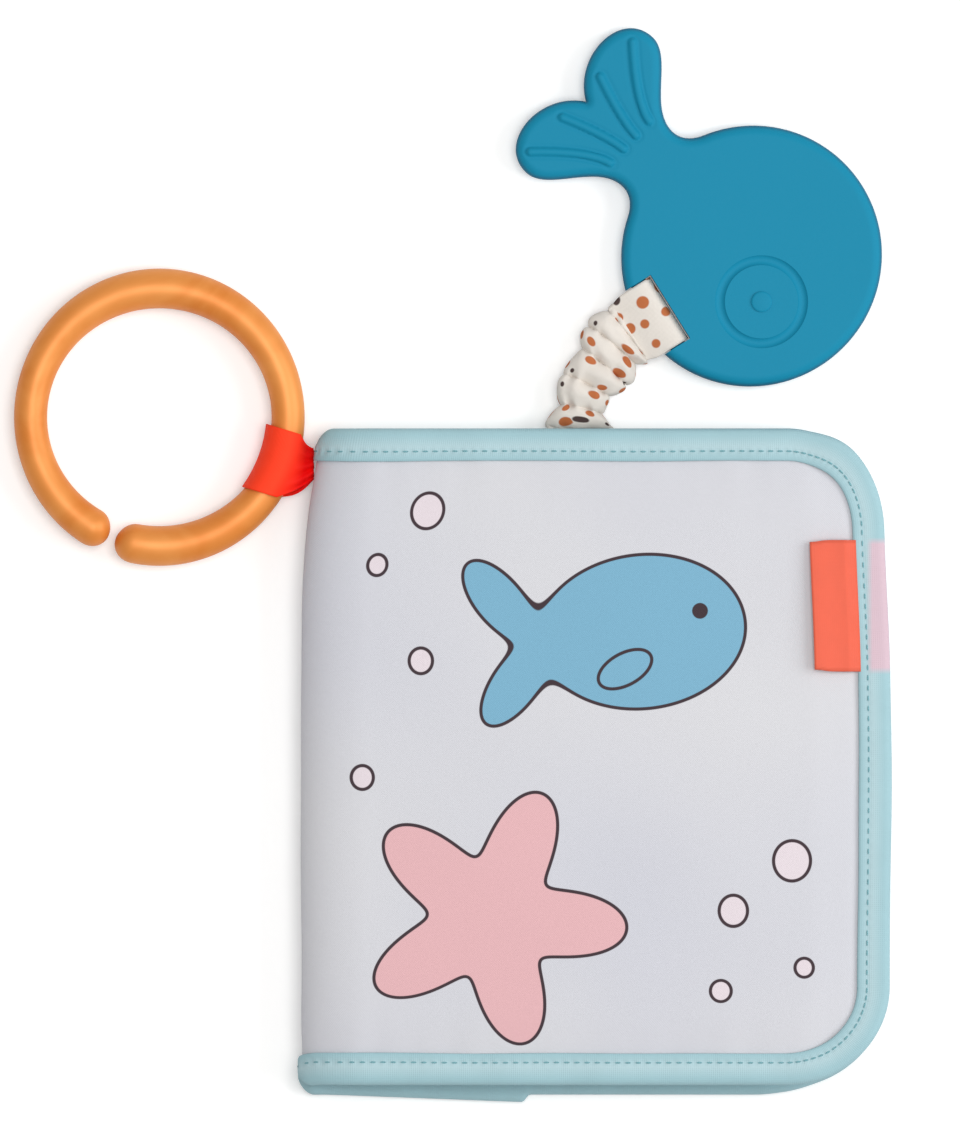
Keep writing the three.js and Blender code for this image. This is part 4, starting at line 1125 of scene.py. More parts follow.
class BuildLeaves(Builder, bpy.types.Operator):
    """Both padded inner leaves: pages, foam, binding and stitching"""
    bl_idname = "bath_book.leaves"
    bl_label = "Leaves"
    thread = (0.8 * MM, 0.24 * MM, 0.14 * MM)

    def build(self, sizes, colours):
        for leaf, (mid, pad, tone) in LEAVES.items():
            page = finish_named(leaf + "_print", page_finish, colours.page, getattr(colours, tone))
            self.sheets(leaf, mid, pad, sizes, page)
            self.fill(leaf, mid, pad, sizes, finish_named("padding_foam", foam_finish, colours.foam))
            self.bind(leaf, mid, sizes, colours)

    def panel(self, left, sizes, rows, columns):
        """X and Y over a leaf, as far as its cloth and foam go under the tape."""
        under = LEAF_UNDER_TAPE
        return rounded_panel(
            left, LEAF_RIGHT - under, LEAF_HALF - under, leaf_corner(sizes) - under, rows, columns)

    def sheets(self, leaf, mid, pad, sizes, page):
        """The leaf's two sheets, which close to a thin flap where they are sewn in at the spine."""
        cloth, clearance, flap = 0.3 * MM, 0.3 * MM, 0.55 * MM
        left = LEAF_LEFT - 0.4 * MM
        x, y = self.panel(left, sizes, 120, 110)
        inset = leaf_inset(sizes, x, y)
        closing = 1 - smooth_step(x, left, left + 3 * MM)
        for side, face in ((1, "front_sheet"), (-1, "back_sheet")):
            wavy = 0.12 * MM * ripple(x, y, 30 * MM, 3 + side) * smooth_step(inset, 6 * MM, 20 * MM)
            rise = (leaf_rise(sizes, pad, inset) + clearance) * (1 - closing) + flap / 2 * closing
            inner = mid + side * (rise - np.abs(wavy) * 0.5)
            sheet = slab(
                f"{leaf}_{face}_cloth", stacked(x, y, inner + side * cloth), stacked(x, y, inner), page,
                stacked(x, y))
            settle(sheet, (f"{leaf}_{face}",), body=leaf)

    def fill(self, leaf, mid, pad, sizes, material):
        """The leaf's foam, a little thinner than the room between its sheets."""
        x, y = self.panel(LEAF_LEFT + 2 * MM, sizes, 70, 60)
        rise = leaf_rise(sizes, pad, leaf_inset(sizes, x, y)) - 0.05 * MM
        item = slab(
            f"{leaf}_foam", stacked(x, y, mid + rise), stacked(x, y, mid - rise), material, stacked(x, y))
        settle(item, (f"{leaf}_padding",), body=leaf)

    def bind(self, leaf, mid, sizes, colours):
        """The leaf's tape over its top edge, fore edge and bottom edge, and its stitches."""
        radius = leaf_corner(sizes)
        width, edge, rise = sizes.leaf_tape_width, 1.35 * MM, 0.55 * MM
        seam, inset = 0.8 * MM, 3.9 * MM
        start = LEAF_LEFT + width / 2
        route = [[[start, -LEAF_HALF, -math.pi / 2]]]
        for sign, offset in ((-1, -math.pi / 2), (1, 0)):
            angle = np.linspace(0, 1, 30) * math.pi / 2 + offset
            route.append(stacked(
                LEAF_RIGHT - radius + radius * np.cos(angle),
                sign * (LEAF_HALF - radius) + radius * np.sin(angle), angle))
        route = np.concatenate([*route, [[start, LEAF_HALF, math.pi / 2]]])
        run = run_of(route[:, :2])
        along = np.linspace(0, run[-1], 520)
        x, y, angle = (np.interp(along, run, route[:, k]) for k in range(3))
        a, e, h = tape_section(width, rise, edge, 6)
        number = round(run[-1] / sizes.stitch_pitch)
        pitch = run[-1] / number

        def place(x, y, angle, along, a, e, h):
            """A point of the tape, pulled in by a groove along the stitches with a dimple at each hole."""
            groove = np.exp(-((a - inset) / (0.6 * MM)) ** 2) * (0.12 + 0.08 * np.cos(TAU * along / pitch))
            level = (seam + h - groove * MM * (h > 0.5 * rise)) * (1 - 2 * e)
            return stacked(x - a * np.cos(angle), y - a * np.sin(angle), mid + level)

        rings = place(*(v[:, None] for v in (x, y, angle, along)), a, e, h)
        uv = stacked(along[:, None], np.append(run_of(stacked(a, h)), 0))
        tape = tube(f"{leaf}_tape", rings, finish_named("binding_tape", tape_finish, colours), uv)
        settle(tape, (f"{leaf}_binding",), body=leaf)
        spots = (np.arange(number) + 0.5) * pitch
        x, y, angle = (np.interp(spots, along, v) for v in (x, y, angle))
        forward = stacked(-np.sin(angle), np.cos(angle), 0)
        outward = stacked(np.cos(angle), np.sin(angle), 0)
        ups = [np.tile([0, 0, side], (number, 1)) for side in (1, -1)]
        places = [
            place(x, y, angle, spots, inset, side, rise) + up * 0.08 * MM for side, up in enumerate(ups)]
        seam_item = stitches(
            f"{leaf}_stitches", np.concatenate(places), np.tile(outward, (2, 1)), np.tile(forward, (2, 1)),
            np.concatenate(ups), self.thread, finish_named("binding_thread", thread_finish, colours.thread))
        settle(seam_item, body=leaf)


def strip_solid(name, path, across, width, thickness, material, columns):
    """A flat strip carried along a path: its centre line, its direction across and its thickness."""
    across = np.broadcast_to(across, path.shape)
    up = unit(np.cross(unit(np.gradient(path, axis=0)), across))
    offset = np.linspace(-0.5, 0.5, columns) * width
    centre = path[:, None] + across[:, None] * offset[None, :, None]
    lift = up[:, None] * thickness / 2
    return slab(name, centre + lift, centre - lift, material, stacked(run_of(path)[:, None], offset))


class BuildInnerFold(Builder, bpy.types.Operator):
    """The cloth that sews both leaves to the spine, with a bent tongue for each leaf"""
    bl_idname = "bath_book.inner_fold"
    bl_label = "Inner fold"

    def build(self, sizes, colours):
        low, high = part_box("inner_sheet_fold")
        back_x = low.x + 0.25 * MM + sizes.spine_lean * 0.2
        reach = LEAF_LEFT + 1.2 * MM
        bend, thickness, parting = 1.2 * MM, 0.5 * MM, 0.15 * MM
        middle_z = (UPPER_MID + LOWER_MID) / 2
        material = finish_named("lining_cloth", page_finish, colours.page, colours.fish)
        turn = np.linspace(0, math.pi / 2, 8)
        run_x = np.linspace(back_x + bend, reach, 26)[1:]
        x = np.concatenate([[back_x], back_x + bend * (1 - np.cos(turn)), run_x])
        y = np.linspace(-high.y, high.y, 60)
        slide = (reach - x) / (reach - back_x)
        leaning = x[:, None] + Fold(sizes).lean(y) * 0.55 * slide[:, None]
        for leaf, (mid, _, _) in LEAVES.items():
            sign = 1 if mid > middle_z else -1
            turned = mid - sign * bend * (1 - np.sin(turn))
            z = np.concatenate([[middle_z + sign * parting], turned, 0 * run_x + mid])
            line = stacked(x, 0, z)
            tangent = unit(np.gradient(line, axis=0))
            lift = stacked(-tangent[:, 2], 0, tangent[:, 0])[:, None] * thickness / 2
            grid = stacked(leaning, y, z[:, None])
            uv = stacked(run_of(line)[:, None], y)
            item = slab(f"{leaf}_tongue", grid + lift, grid - lift, material, uv)
            start, end = ((LEAF_HINGE_X + away, 0, mid) for away in (-3 * MM, 1.2 * MM))
            nodes = ("inner_sheet_fold",) if sign > 0 else ()
            settle(item, nodes, blend=("root", leaf, start, end))


class BuildLabel(Builder, bpy.types.Operator):
    """The folded tape label that comes out under the fore edge's binding"""
    bl_idname = "bath_book.label"
    bl_label = "Side label"
    kind = "toy"

    def build(self, sizes, colours):
        low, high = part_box("side_label")
        y, mid = middle("side_label", 1), middle("side_label", 2)
        width, thick = high.y - low.y, sizes.label_cloth
        tuck_x, tuck_z, tuck_gap = high.x + 1.0 * MM, FRONT_MID + 1.45 * MM, 0.42 * MM
        t = np.linspace(0, 1, 14)
        ramp_x = tuck_x + (high.x - 2.2 * MM - tuck_x) * t
        rise = smooth_step(t, 0, 1)
        lower = stacked(ramp_x, tuck_z + (low.z + thick / 2 - tuck_z) * rise)
        upper = stacked(ramp_x, tuck_z + tuck_gap + (high.z - thick / 2 - tuck_z - tuck_gap) * rise)
        angle = np.linspace(-math.pi / 2, -1.5 * math.pi, 12)
        bend = (high.z - low.z - thick) / 2
        loop = stacked(low.x + bend + bend * np.cos(angle), mid + bend * np.sin(angle))
        flat = np.linspace(0, 1, 16)[1:-1, None]
        section = np.concatenate([
            lower, lower[-1] + (loop[0] - lower[-1]) * flat, loop,
            loop[-1] + (upper[-1] - loop[-1]) * flat, upper[::-1]])
        across = np.linspace(-0.5, 0.5, 26)
        free = smooth_step(-section[:, :1], -high.x, -low.x)
        tapered = y + across * width * (1 - 0.03 * free ** 6)
        curl = 0.35 * MM * (2 * np.abs(across)) ** 3
        sway = (0.7 + 0.9 * (0.5 - across)) * MM
        grid = stacked(
            section[:, :1] + fore_bow(high.x, tapered) + 2.2 * MM * free, tapered,
            section[:, 1:] - free * curl + free ** 2 * sway)
        lift = facing(grid, -UP, (len(lower) // 2, len(across) // 2)) * thick / 2
        item = slab(
            "label_loop", grid + lift, grid - lift,
            finish_named("label_tape", satin_finish, colours.label, 0.32 * MM, 0.25),
            stacked(across * width, run_of(section)[:, None]))
        start, end = ((high.x + away, y, mid) for away in (0.7 * MM, -1.6 * MM))
        settle(item, ("side_label",), blend=("front_cover", "label", start, end))


def ring_tube_radius(sizes, angle):
    """The ring's thickness: thinnest at its sides and thickest at its top and bottom."""
    low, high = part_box("link_ring")
    thin = (high.x - low.x) / 2 - sizes.ring_radius
    thick = (high.z - low.z) / 2
    return thin + (thick - thin) * (1 - np.cos(2 * angle)) / 2


class BuildRing(Builder, bpy.types.Operator):
    """The open link ring: a round section carried round a circle, with domed ends"""
    bl_idname = "bath_book.ring"
    bl_label = "Link ring"
    kind = "toy"

    def build(self, sizes, colours):
        gap_angle = math.radians(-111.5)
        radius = sizes.ring_radius
        start = gap_angle + sizes.ring_gap / 2 / radius
        sweep = TAU - sizes.ring_gap / radius
        cap = ring_tube_radius(sizes, gap_angle) / radius
        dome = np.linspace(0.08, 1, 10) * math.pi / 2
        first = start + cap * (1 - np.cos(dome))
        last = start + sweep - cap * (1 - np.cos(dome[::-1]))
        between = np.linspace(first[-1], last[0], 220)[1:-1]
        angle = np.concatenate([first, between, last])
        scale = np.concatenate([np.sin(dome), np.ones(len(between)), np.sin(dome[::-1])])
        turn = around(40)
        tube_radius = (ring_tube_radius(sizes, angle) * scale)[:, None]
        reach = radius + tube_radius * np.cos(turn)
        rings = stacked(
            RING_X + reach * np.cos(angle)[:, None], RING_Y + reach * np.sin(angle)[:, None],
            RING_Z + tube_radius * np.sin(turn))
        item = tube("ring_link", rings, finish_named("pearl_plastic", pearl_finish, colours))
        settle(item, ("link_ring",), body="ring")


class BuildRibbon(Builder, bpy.types.Operator):
    """The satin ribbon: a wide loop round the ring, drawn into pleats at its neck"""
    bl_idname = "bath_book.ribbon"
    bl_label = "Ring ribbon"
    kind = "toy"

    def build(self, sizes, colours):
        low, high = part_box("ring_ribbon")
        angle, heading = math.radians(-21), math.radians(-17)
        radius = sizes.ring_radius
        around_ring = (high.z - low.z) / 2 - 0.25 * MM
        centre = np.array([RING_X + radius * math.cos(angle), RING_Y + radius * math.sin(angle), RING_Z])
        neck_reach = high.x + 1.0 * MM - centre[0]
        leave = math.acos(around_ring / neck_reach)
        loop = np.linspace(leave, TAU - leave, 44)
        legs = np.linspace(1, 0, 20)[:-1]
        across = np.linspace(-1, 1, 42)
        touch = np.array([around_ring * math.cos(leave), around_ring * math.sin(leave)])
        split = 0.45 * MM

        def leg(sign):
            end = np.array([neck_reach, sign * split])
            start = touch * [1, sign]
            return start + (end - start) * legs[:, None]

        profile = np.concatenate([
            leg(1), stacked(around_ring * np.cos(loop), around_ring * np.sin(loop)), leg(-1)[::-1]])
        drawn = np.concatenate([legs, 0 * loop, legs[::-1]])[:, None]
        width = sizes.ribbon_width + (sizes.neck_width - sizes.ribbon_width) * drawn ** 0.9
        u, v = profile[:, :1], profile[:, 1:]
        pleat = 0.5 * MM * np.cos(across * math.pi * 3.5) * drawn ** 0.8 * np.sign(v)
        hang = -0.9 * MM * np.sin(math.pi * np.minimum(drawn, 0.9)) * (v < 0)
        spread = angle + across * width / 2 / radius
        curved = stacked(
            RING_X + radius * np.cos(spread) + u * math.cos(heading),
            RING_Y + radius * np.sin(spread) + u * math.sin(heading) + hang, RING_Z + v + pleat)
        plain = stacked(centre[0] + u, centre[1] + across * width / 2 + hang, RING_Z + v + pleat)
        straight = drawn[..., None] ** 1.2
        grid = curved * (1 - straight) + plain * straight
        crest = (len(legs) + len(loop) // 2, len(across) // 2)
        thickness = 0.4 * MM
        lift = facing(grid, grid[crest] - centre, crest) * thickness / 2
        run = run_of(profile)
        uv = stacked(across * width / 2, np.minimum(run, run[-1] - run)[:, None])
        material = finish_named("red_ribbon", ribbon_finish, colours)
        item = slab("ribbon_loop", grid + lift, grid - lift, material, uv)
        x, y, z = pivot("ribbon_swing")
        start, end = ((x - away, y, z) for away in (0.2 * MM, 2.4 * MM))
        settle(item, ("ring_ribbon",), blend=("root", "ribbon", start, end))


def bezier(points, t):
    """A cubic curve through its four control points, by Bernstein's weights."""
    p = np.asarray(points, float)
    t = np.asarray(t, float)[:, None]
    return (1 - t) ** 3 * p[0] + 3 * (1 - t) ** 2 * t * p[1] + 3 * (1 - t) * t ** 2 * p[2] + t ** 3 * p[3]


class BuildStrap(Builder, bpy.types.Operator):
    """The gathered dotted strap, its elastic and the flat band that loops through the teether"""
    bl_idname = "bath_book.strap"
    bl_label = "Strap"
    kind = "toy"

    def build(self, sizes, colours):
        material = finish_named("dotted_cloth", dotted_finish, colours)
        start = STRAP_START - [0, 0.7 * MM, 0]
        end = BAR - BAND_WAY * (sizes.band_length - 1.6 * MM)
        route = [start, start + [0, 8.5 * MM, 0], end - BAND_WAY * 5 * MM, end]
        blend = ("strap", "band", tuple(start), tuple(end))
        self.sleeve(sizes, material, route, blend)
        self.root(sizes, material)
        self.elastic(colours, route, blend)
        self.band(sizes, material)

    def course(self, route, shares):
        """The strap's centre line at given shares of its route, and the direction across it there."""
        centre = bezier(route, shares)
        tangent = unit(np.gradient(centre, axis=0))
        return centre, tangent, unit(stacked(tangent[:, 1], -tangent[:, 0], 0))

    def sleeve(self, sizes, material, route, blend):
        """A flat tube that puffs between deep slanted creases along its route.

        Its half width and half height rise from each crease by a root of a sine, so that the lumps are
        full and the creases narrow; small pinches run out of each crease.
        """
        rows, columns = 260, 88
        t = np.linspace(0, 1, rows)
        centre, tangent, across = self.course(route, t)
        up = unit(np.cross(across, tangent))
        t = t[:, None]
        angle = around(columns)
        cos, sin = np.cos(angle), np.sin(angle)
        lumps = 5.2
        slant = (0.75 * np.cos(1.7 * TAU * t + 0.6) + 0.25) * cos + 0.25 * np.sin(2 * angle + 1.1)
        crease = np.abs(np.sin(math.pi * (lumps * t + 0.1) + 0.5 * slant)) ** 0.42
        pinch = (1 - crease) * np.cos(11 * cos + 9 * t) * np.sqrt(np.abs(sin))
        fine = ripple(t * 34 * MM, cos * 8 * MM, 6 * MM, 21)
        bulk = np.interp(t, [0, 0.1, 0.3, 0.62, 0.88, 1], [0.5, 0.8, 1.0, 1.0, 0.9, 0.5])
        width = np.interp(t, [0, 0.06, 0.16, 0.3, 0.6, 0.85, 1], [1.02, 0.88, 0.69, 0.77, 0.94, 1.0, 0.97])
        reach = sizes.strap_width / 2 * width * (0.8 + 0.2 * crease + 0.025 * fine)
        height = sizes.strap_bulk * bulk * (0.36 + 0.64 * crease + 0.09 * fine + 0.3 * pinch)
        wander = 1.0 * MM * np.sin(2.15 * t * TAU + 0.5) * np.sin(math.pi * t)
        square = lambda v: np.sign(v) * np.abs(v) ** 0.72
        rings = (
            centre[:, None] + across[:, None] * (reach * square(cos) + wander)[..., None]
            + up[:, None] * (height * square(sin))[..., None])
        rings[..., 2] = np.maximum(rings[..., 2], 0.3 * MM)
        gathering = 1.5
        girth = np.arange(columns + 1) / columns * 2 * (sizes.strap_width + 2 * MM)
        uv = stacked(girth, (run_of(centre) * gathering)[:, None])
        settle(tube("strap_gathers", rings, material, uv), ("strap_sleeve",), blend=blend)

    def root(self, sizes, material):
        """The strap's flat root, which comes out between the covers."""
        x, y, z = STRAP_START
        path = stacked(x, np.linspace(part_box("strap_anchor")[0].y, y + 0.8 * MM, 20), z)
        item = strip_solid(
            "strap_root", path, np.array([1.0, 0, 0]), sizes.strap_width * 0.86, 1.2 * MM, material, 20)
        start, end = ((x, y + away, z) for away in (-1.4 * MM, 0.9 * MM))
        settle(item, ("strap_anchor",), blend=("root", "strap", start, end))

    def elastic(self, colours, route, blend):
        """The elastic web inside the gathers."""
        path, _, across = self.course(route, np.linspace(0.01, 0.99, 40))
        material = finish_named("elastic_web", satin_finish, colours.elastic, 0.8 * MM, 0)
        item = strip_solid("elastic_web", path, across, 5 * MM, 0.6 * MM, material, 12)
        settle(item, ("strap_elastic",), blend=blend)

    def band(self, sizes, material):
        """The flat end: a loop of cloth round the teether's bar, its legs meeting at the gathers."""
        reach, cloth = sizes.band_length, sizes.strap_cloth
        mid, tip = 2.3 * MM + cloth / 2, cloth * 0.56
        t = np.linspace(0, 1, 26)[:-1]
        ease = smooth_step(t, 0, 1)
        upper = stacked(-reach * (1 - t), tip + (mid - tip) * ease ** 0.7)
        lower = stacked(-reach * (1 - t), -tip - (mid - tip) * ease)[::-1]
        angle = np.linspace(math.pi / 2, -math.pi / 2, 31)
        bend = mid * stacked(np.cos(angle) ** 0.75, np.sign(angle) * np.abs(np.sin(angle)) ** 0.75)
        section = np.concatenate([upper, bend, lower])
        along, level = section[:, None, :1], section[:, None, 1:]
        offset = np.linspace(-0.5, 0.5, 30)
        flare = 1 - 0.12 * smooth_step(-section[:, :1], 0.5 * reach, reach)
        sideways = offset * sizes.strap_width * flare
        grid = BAR + along * BAND_WAY + level * UP - BAND_SIDE * sideways[..., None]
        grid[..., 2] += 0.10 * MM * np.sin(offset * 9) * smooth_step(-section[:, :1], 0, reach)
        lift = facing(grid) * cloth / 2 * 0.9
        uv = stacked(offset * sizes.strap_width + 40 * MM, run_of(section)[:, None])
        item = slab("strap_band", grid + lift, grid - lift, material, uv)
        settle(item, ("strap_end_band",), body="band")


# The teether: a fish drawn in its own frame, u from its middle towards its tail and v across it

TEETHER_X = 37.6 * MM
TEETHER_Y = HALF_HEIGHT + 41.6 * MM
TAIL_ANGLE = math.radians(137)
SHOULDER_ANGLE = math.radians(25)
FISH_LENGTH = 31.2 * MM
FISH_BREADTH = 31.6 * MM
NECK = 8.9 * MM
THROAT = 34.2 * MM
TAIL_SPREAD = 22.3 * MM
TAIL_REACH = 62 * MM
NOTCH = 54.5 * MM
EYE_ANGLE = math.radians(-78)
EYE_REACH = 11.3 * MM
EYE_GROOVE = 10 * MM
GROOVE_HALF = 1.2 * MM
PUPIL = 2.5 * MM


def fish_side(count):
    """Half of the fish's outline, from its nose to its tail lobe's tip, and the lobe's trailing edge."""
    round_body = np.linspace(math.pi, SHOULDER_ANGLE, 90)
    body = stacked(FISH_LENGTH * np.cos(round_body), FISH_BREADTH * np.sin(round_body))
    off = SHOULDER_ANGLE - math.pi / 2
    shoulder = body[-1] + 3 * MM * np.array([math.cos(off), math.sin(off)])
    along = lambda share: THROAT + (TAIL_REACH - THROAT) * share
    lobe = [along(0.69), TAIL_SPREAD]
    t = np.linspace(0, 1, count)
    curves = [
        bezier(points, t) for points in (
            [body[-1], shoulder, [along(-0.09), NECK], [THROAT, NECK]],
            [[THROAT, NECK], [along(0.3), NECK], [along(0.44), TAIL_SPREAD], lobe],
            [lobe, [along(1.06), TAIL_SPREAD], [along(1.09), 0.27 * TAIL_SPREAD], [NOTCH, 0]])]
    split = count // 2
    side = np.concatenate([body, curves[0][1:], curves[1][1:], curves[2][1:split]])
    return side, curves[2][split - 1:]


def evenly(points, places):
    """Points at given shares of a line's length."""
    run = run_of(points)
    return np.stack([np.interp(places * run[-1], run, points[:, k]) for k in range(2)], -1)


def clustered(count):
    """Shares from 0 to 1, closer together at both ends."""
    return (1 - np.cos(np.linspace(0, math.pi, count))) / 2


def fish_grid(rows, columns):
    """A grid over the fish: straight rows between its two sides, bent towards the tail's notch."""
    side, trail = fish_side(40)
    places = clustered(rows)
    right = evenly(side, places)
    left = right * [1, -1]
    q = clustered(columns)
    straight = left[:, None] * (1 - q)[None, :, None] + right[:, None] * q[None, :, None]
    edge = evenly(np.concatenate([trail * [1, -1], trail[::-1][1:]]), q)
    chord = left[-1] * (1 - q)[:, None] + right[-1] * q[:, None]
    fade = smooth_step(places, 0.62, 1.0)[:, None, None]
    return straight + (edge - chord)[None] * fade


def distance_to(points, line):
    """The distance from each point to the nearest segment of a line."""
    start = line[:-1]
    step = line[1:] - start
    size = np.maximum((step ** 2).sum(-1), 1e-16)
    flat = points.reshape(-1, 2)
    best = np.full(len(flat), np.inf)
    for a, b, c in zip(start, step, size):
        t = np.clip(((flat - a) @ b) / c, 0, 1)
        best = np.minimum(best, np.hypot(*(flat - a - t[:, None] * b).T))
    return best.reshape(points.shape[:-1])


# Each rib's distance from the fish's middle line at its root and at its tip, in millimetres
RIBS = [(2.2, 6.7), (6.9, 18.0)]


def fish_relief(flat, rise):
    """The height of the tail's ribs: rounded ridges that leave the throat and bend out over each lobe."""
    total = np.zeros(flat.shape[:2])
    half_width = 1.0 * MM
    t = np.linspace(0, 1, 12)
    for root, tip in RIBS:
        along = THROAT + 6 * MM + 15.8 * MM * t
        for side in (-1, 1):
            line = np.stack([along, side * (root + (tip - root) * t ** 1.4) * MM], -1)
            near = distance_to(flat, line) / half_width
            total += np.sqrt(np.maximum(1 - near ** 2, 0)) - 0.22 * np.exp(-((near - 1.45) / 0.35) ** 2)
    return total * rise


class BuildTeether(Builder, bpy.types.Operator):
    """The flat silicone fish with rounded edges, ribbed tail, eye and the strap's slot"""
    bl_idname = "bath_book.teether"
    bl_label = "Teether"
    kind = "toy"
    half = 3.8 * MM
    # The tools' cloth place: far enough inside the rim for the plain silicone's colour, clear of the
    # painted rim shade
    inside = 0.01

    def build(self, sizes, colours):
        flat = fish_grid(290, 150)
        outline = flat.reshape(-1, 2)[border(*flat.shape[:2])]
        distance = distance_to(flat, np.concatenate([outline, outline[:1]]))
        mid, edge = BAR[2], sizes.teether_edge
        outside = 1 - np.clip(distance / edge, 0, 1)
        face = self.half - edge + edge * np.sqrt(np.maximum(1 - outside ** 2, 0))
        cos, sin = math.cos(TAIL_ANGLE), math.sin(TAIL_ANGLE)
        x = TEETHER_X + flat[..., 0] * cos - flat[..., 1] * sin
        y = TEETHER_Y + flat[..., 0] * sin + flat[..., 1] * cos
        top = stacked(x, y, mid + face + fish_relief(flat, sizes.rib_rise))
        bottom = stacked(x, y, np.maximum(mid - face, 0))
        material = finish_named("teether_silicone", silicone_finish, colours)
        # The cloth place carries each point's distance to the outline, for the finish's painted rim shade.
        item = slab("teether_fish", top, bottom, material, stacked(distance, distance))
        self.weld(item)
        self.eye(item, sizes, material)
        self.slot(item, sizes, material)
        item.data.set_sharp_from_angle(angle=math.radians(40))
        settle(item, ("teether",), body="teether")

    def weld(self, item):
        """Joins the doubled points at the nose."""
        work = bmesh.new()
        work.from_mesh(item.data)
        bmesh.ops.remove_doubles(work, verts=work.verts, dist=2e-6)
        bmesh.ops.dissolve_degenerate(work, edges=work.edges, dist=1e-7)
        bmesh.ops.recalc_face_normals(work, faces=work.faces)
        work.to_mesh(item.data)
        work.free()

    def tool(self, name, rings, material, loop=False):
        """A tube to cut or to join with."""
        uv = np.full((len(rings) + loop, rings.shape[1] + 1, 2), self.inside)
        return tube(name, rings, material, uv, loop)

    def combine(self, item, tool, operation):
        """Cuts a tool out of the fish or joins it on, then drops the tool."""
        cut = item.modifiers.new(operation.lower(), "BOOLEAN")
        cut.operation = operation
        cut.object = tool
        cut.solver = "EXACT"
        with bpy.context.temp_override(object=item, active_object=item, selected_objects=[item]):
            bpy.ops.object.modifier_apply(modifier=cut.name)
        bpy.data.objects.remove(tool)

    def eye(self, item, sizes, material):
        """A round groove, cut by a ring of circular section, and a low round pupil inside it."""
        centre = np.array([
            TEETHER_X + EYE_REACH * math.cos(EYE_ANGLE), TEETHER_Y + EYE_REACH * math.sin(EYE_ANGLE),
            BAR[2] + self.half])
        about = around(96)
        spokes = stacked(np.cos(about), np.sin(about), 0)
        depth = sizes.groove_depth
        cutter = (GROOVE_HALF ** 2 + depth ** 2) / (2 * depth)
        turn = around(24)[:, None]
        rings = (
            centre + spokes[:, None] * (EYE_GROOVE + cutter * np.cos(turn))
            + UP * (cutter - depth + cutter * np.sin(turn)))
        self.combine(item, self.tool("eye_groove", rings, material, True), "DIFFERENCE")
        profile = np.array([(1, -1.0), (1, 0.25), (0.93, 0.42), (0.8, 0.5)])[:, None]
        rings = centre + spokes * (PUPIL * profile[..., :1]) + UP * (MM * profile[..., 1:])
        self.combine(item, self.tool("pupil", rings, material), "UNION")

    def slot(self, item, sizes, material):
        """Cuts the strap's slot out of the rim and puts the round bar across it."""
        slot_half = sizes.strap_width / 2 + 0.3 * MM
        near, far = 3.5 * MM, 5 * MM + 2 * sizes.teether_edge
        plan = np.array([
            [BAR + BAND_WAY * along + BAND_SIDE * across for along, across in row] for row in (
                [(near, slot_half), (near, -slot_half)], [(-far, slot_half), (-far, -slot_half)])])
        deep = 2 * self.half * UP
        cutter = slab("slot_cutter", plan + deep, plan - deep, material, np.full((2, 2, 2), self.inside))
        self.combine(item, cutter, "DIFFERENCE")
        turn = around(20)[:, None]
        ends = np.linspace(-1, 1, 24)[:, None, None] * (slot_half + 1.2 * MM)
        radius = 2 * MM
        bar = (
            BAR + BAND_SIDE * ends
            + BAND_WAY * (radius * np.cos(turn)) + UP * (radius * np.sin(turn)))
        self.combine(item, self.tool("slot_bar", bar, material), "UNION")


class FinishSmallParts(Builder, bpy.types.Operator):
    """Finishes of the hidden rigid pieces: the squeaker, its reed and the crinkle film"""
    bl_idname = "bath_book.small_parts"
    bl_label = "Hidden parts"
    kind = "toy"

    def build(self, sizes, colours):
        squeaker = plain_finish("squeaker_plastic", colours.squeaker, 0.35, 1.0)
        film = plain_finish("crinkle_foil", colours.film, 0.15, 0.6)
        for name, item in frame["nodes"].items():
            item.data.materials.clear()
            item.data.materials.append(film if name == "crinkle_film" else squeaker)


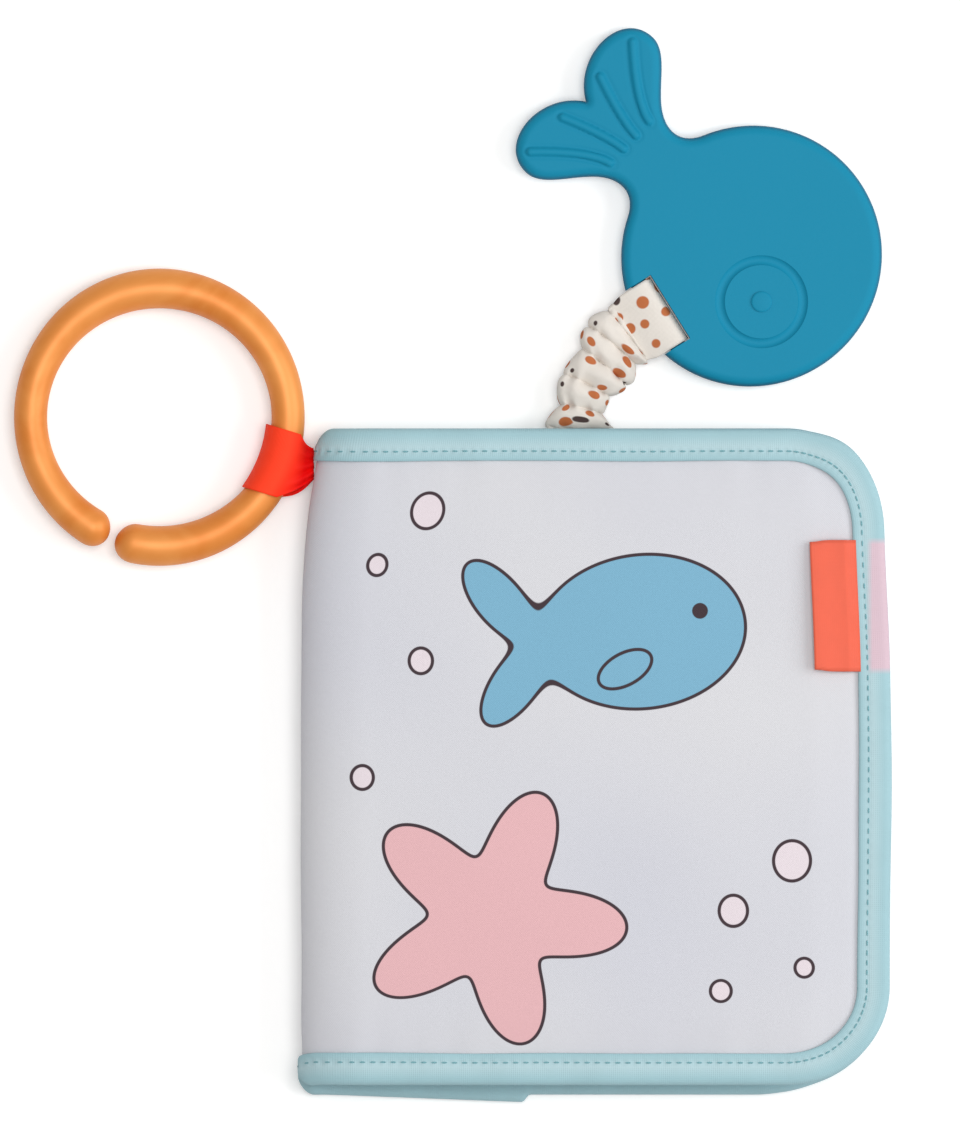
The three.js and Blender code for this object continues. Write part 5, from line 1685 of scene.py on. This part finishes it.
class BuildStage(bpy.types.Operator):
    """A pale floor, soft lamps and a camera straight above the book"""
    bl_idname = "bath_book.stage"
    bl_label = "Stage"

    def execute(self, context):
        scene, studio = context.scene, context.scene.studio
        scene.view_settings.view_transform = "Standard"
        self.floor()
        scene.world = self.world(studio)
        for name, place, size, share, colour in (
                ("key", (0.1, 0.1, 1.45), 0.7, 1.0, (1.0, 0.99, 0.97)),
                ("side", (1.15, 0.1, 0.85), 0.9, 0.9, (0.98, 0.99, 1.0))):
            light = bpy.data.lights.new(name, "AREA")
            light.energy = studio.key_power * share
            light.size = size
            light.color = colour
            lamp = bpy.data.objects.new(name, light)
            lamp.location = place
            lamp.visible_camera = False
            aim = -np.array(place) + [studio.view_x, studio.view_y, 0]
            lamp.rotation_euler = Vector(aim).to_track_quat("-Z", "Y").to_euler()
            scene.collection.objects.link(lamp)
        lens = bpy.data.cameras.new("camera")
        lens.sensor_width = 36
        lens.lens = lens.sensor_width * studio.distance / studio.view_height
        lens.clip_end = 10
        camera = bpy.data.objects.new("camera", lens)
        camera.location = (studio.view_x, studio.view_y, COVER_TOP + studio.distance)
        scene.collection.objects.link(camera)
        scene.camera = camera
        return {"FINISHED"}

    def floor(self):
        """A wide floor that is a little brighter to the camera than to the light that meets it."""
        finish = Finish("floor")
        grain = finish.noise(finish.place(), 40, 2, 0.5)
        paint = finish.mix(grain * 0.1, (0.9, 0.9, 0.9), (0.86, 0.86, 0.86))
        plain = finish.node("ShaderNodeBsdfDiffuse", None, {"Color": paint})
        lit = finish.node("ShaderNodeEmission", None, {"Strength": 0.2})
        shown = finish.node("ShaderNodeAddShader", None, {0: plain, 1: lit})
        finish.close("ShaderNodeOutputMaterial", finish.seen(plain, shown))
        half, above, under = 3.0, 0.5 * MM, 10 * MM
        plan = np.array([[[-half, -half, 0], [-half, half, 0]], [[half, -half, 0], [half, half, 0]]])
        slab("floor", plan - above * UP, plan - under * UP, finish.material)

    def world(self, studio):
        """An even pale surrounding light, white behind the object."""
        world = bpy.data.worlds.new("studio")
        world.use_nodes = True
        tree = Nodes(world.node_tree)
        light, white = (
            tree.node("ShaderNodeBackground", None, {"Color": (1, 1, 1), "Strength": strength})
            for strength in (studio.fill, 1.0))
        tree.close("ShaderNodeOutputWorld", tree.seen(light, white))
        return world


class BathBookPanel(bpy.types.Panel):
    """The book's pieces and sizes in the sidebar"""
    bl_idname = "VIEW3D_PT_bath_book"
    bl_label = "Bath book"
    bl_space_type = "VIEW_3D"
    bl_region_type = "UI"
    bl_category = "Bath book"

    def draw(self, context):
        for name in GROUPS:
            box = self.layout.box()
            group = getattr(context.scene, name)
            for key in group.__annotations__:
                box.prop(group, key)
        for operator in OPERATORS:
            self.layout.operator(operator.bl_idname)


GROUPS = {
    "book_sizes": BookSizes, "book_colours": BookColours, "toy_sizes": ToySizes,
    "toy_colours": ToyColours, "studio": StudioSettings,
}
OPERATORS = (
    BuildStage, BuildCover, BuildLining, BuildPadding, BuildBinding, BuildLeaves, BuildInnerFold,
    BuildLabel, BuildRing, BuildRibbon, BuildStrap, BuildTeether, FinishSmallParts,
)


def register():
    for group in GROUPS.values():
        bpy.utils.register_class(group)
    for name, group in GROUPS.items():
        setattr(bpy.types.Scene, name, bpy.props.PointerProperty(type=group))
    for item in (*OPERATORS, BathBookPanel):
        bpy.utils.register_class(item)


def unregister():
    for item in (BathBookPanel, *reversed(OPERATORS)):
        bpy.utils.unregister_class(item)
    for name, group in GROUPS.items():
        delattr(bpy.types.Scene, name)
        bpy.utils.unregister_class(group)


def main():
    register()
    for operator in OPERATORS:
        group, name = operator.bl_idname.split(".")
        getattr(getattr(bpy.ops, group), name)()


if __name__ == "__main__":
    main()
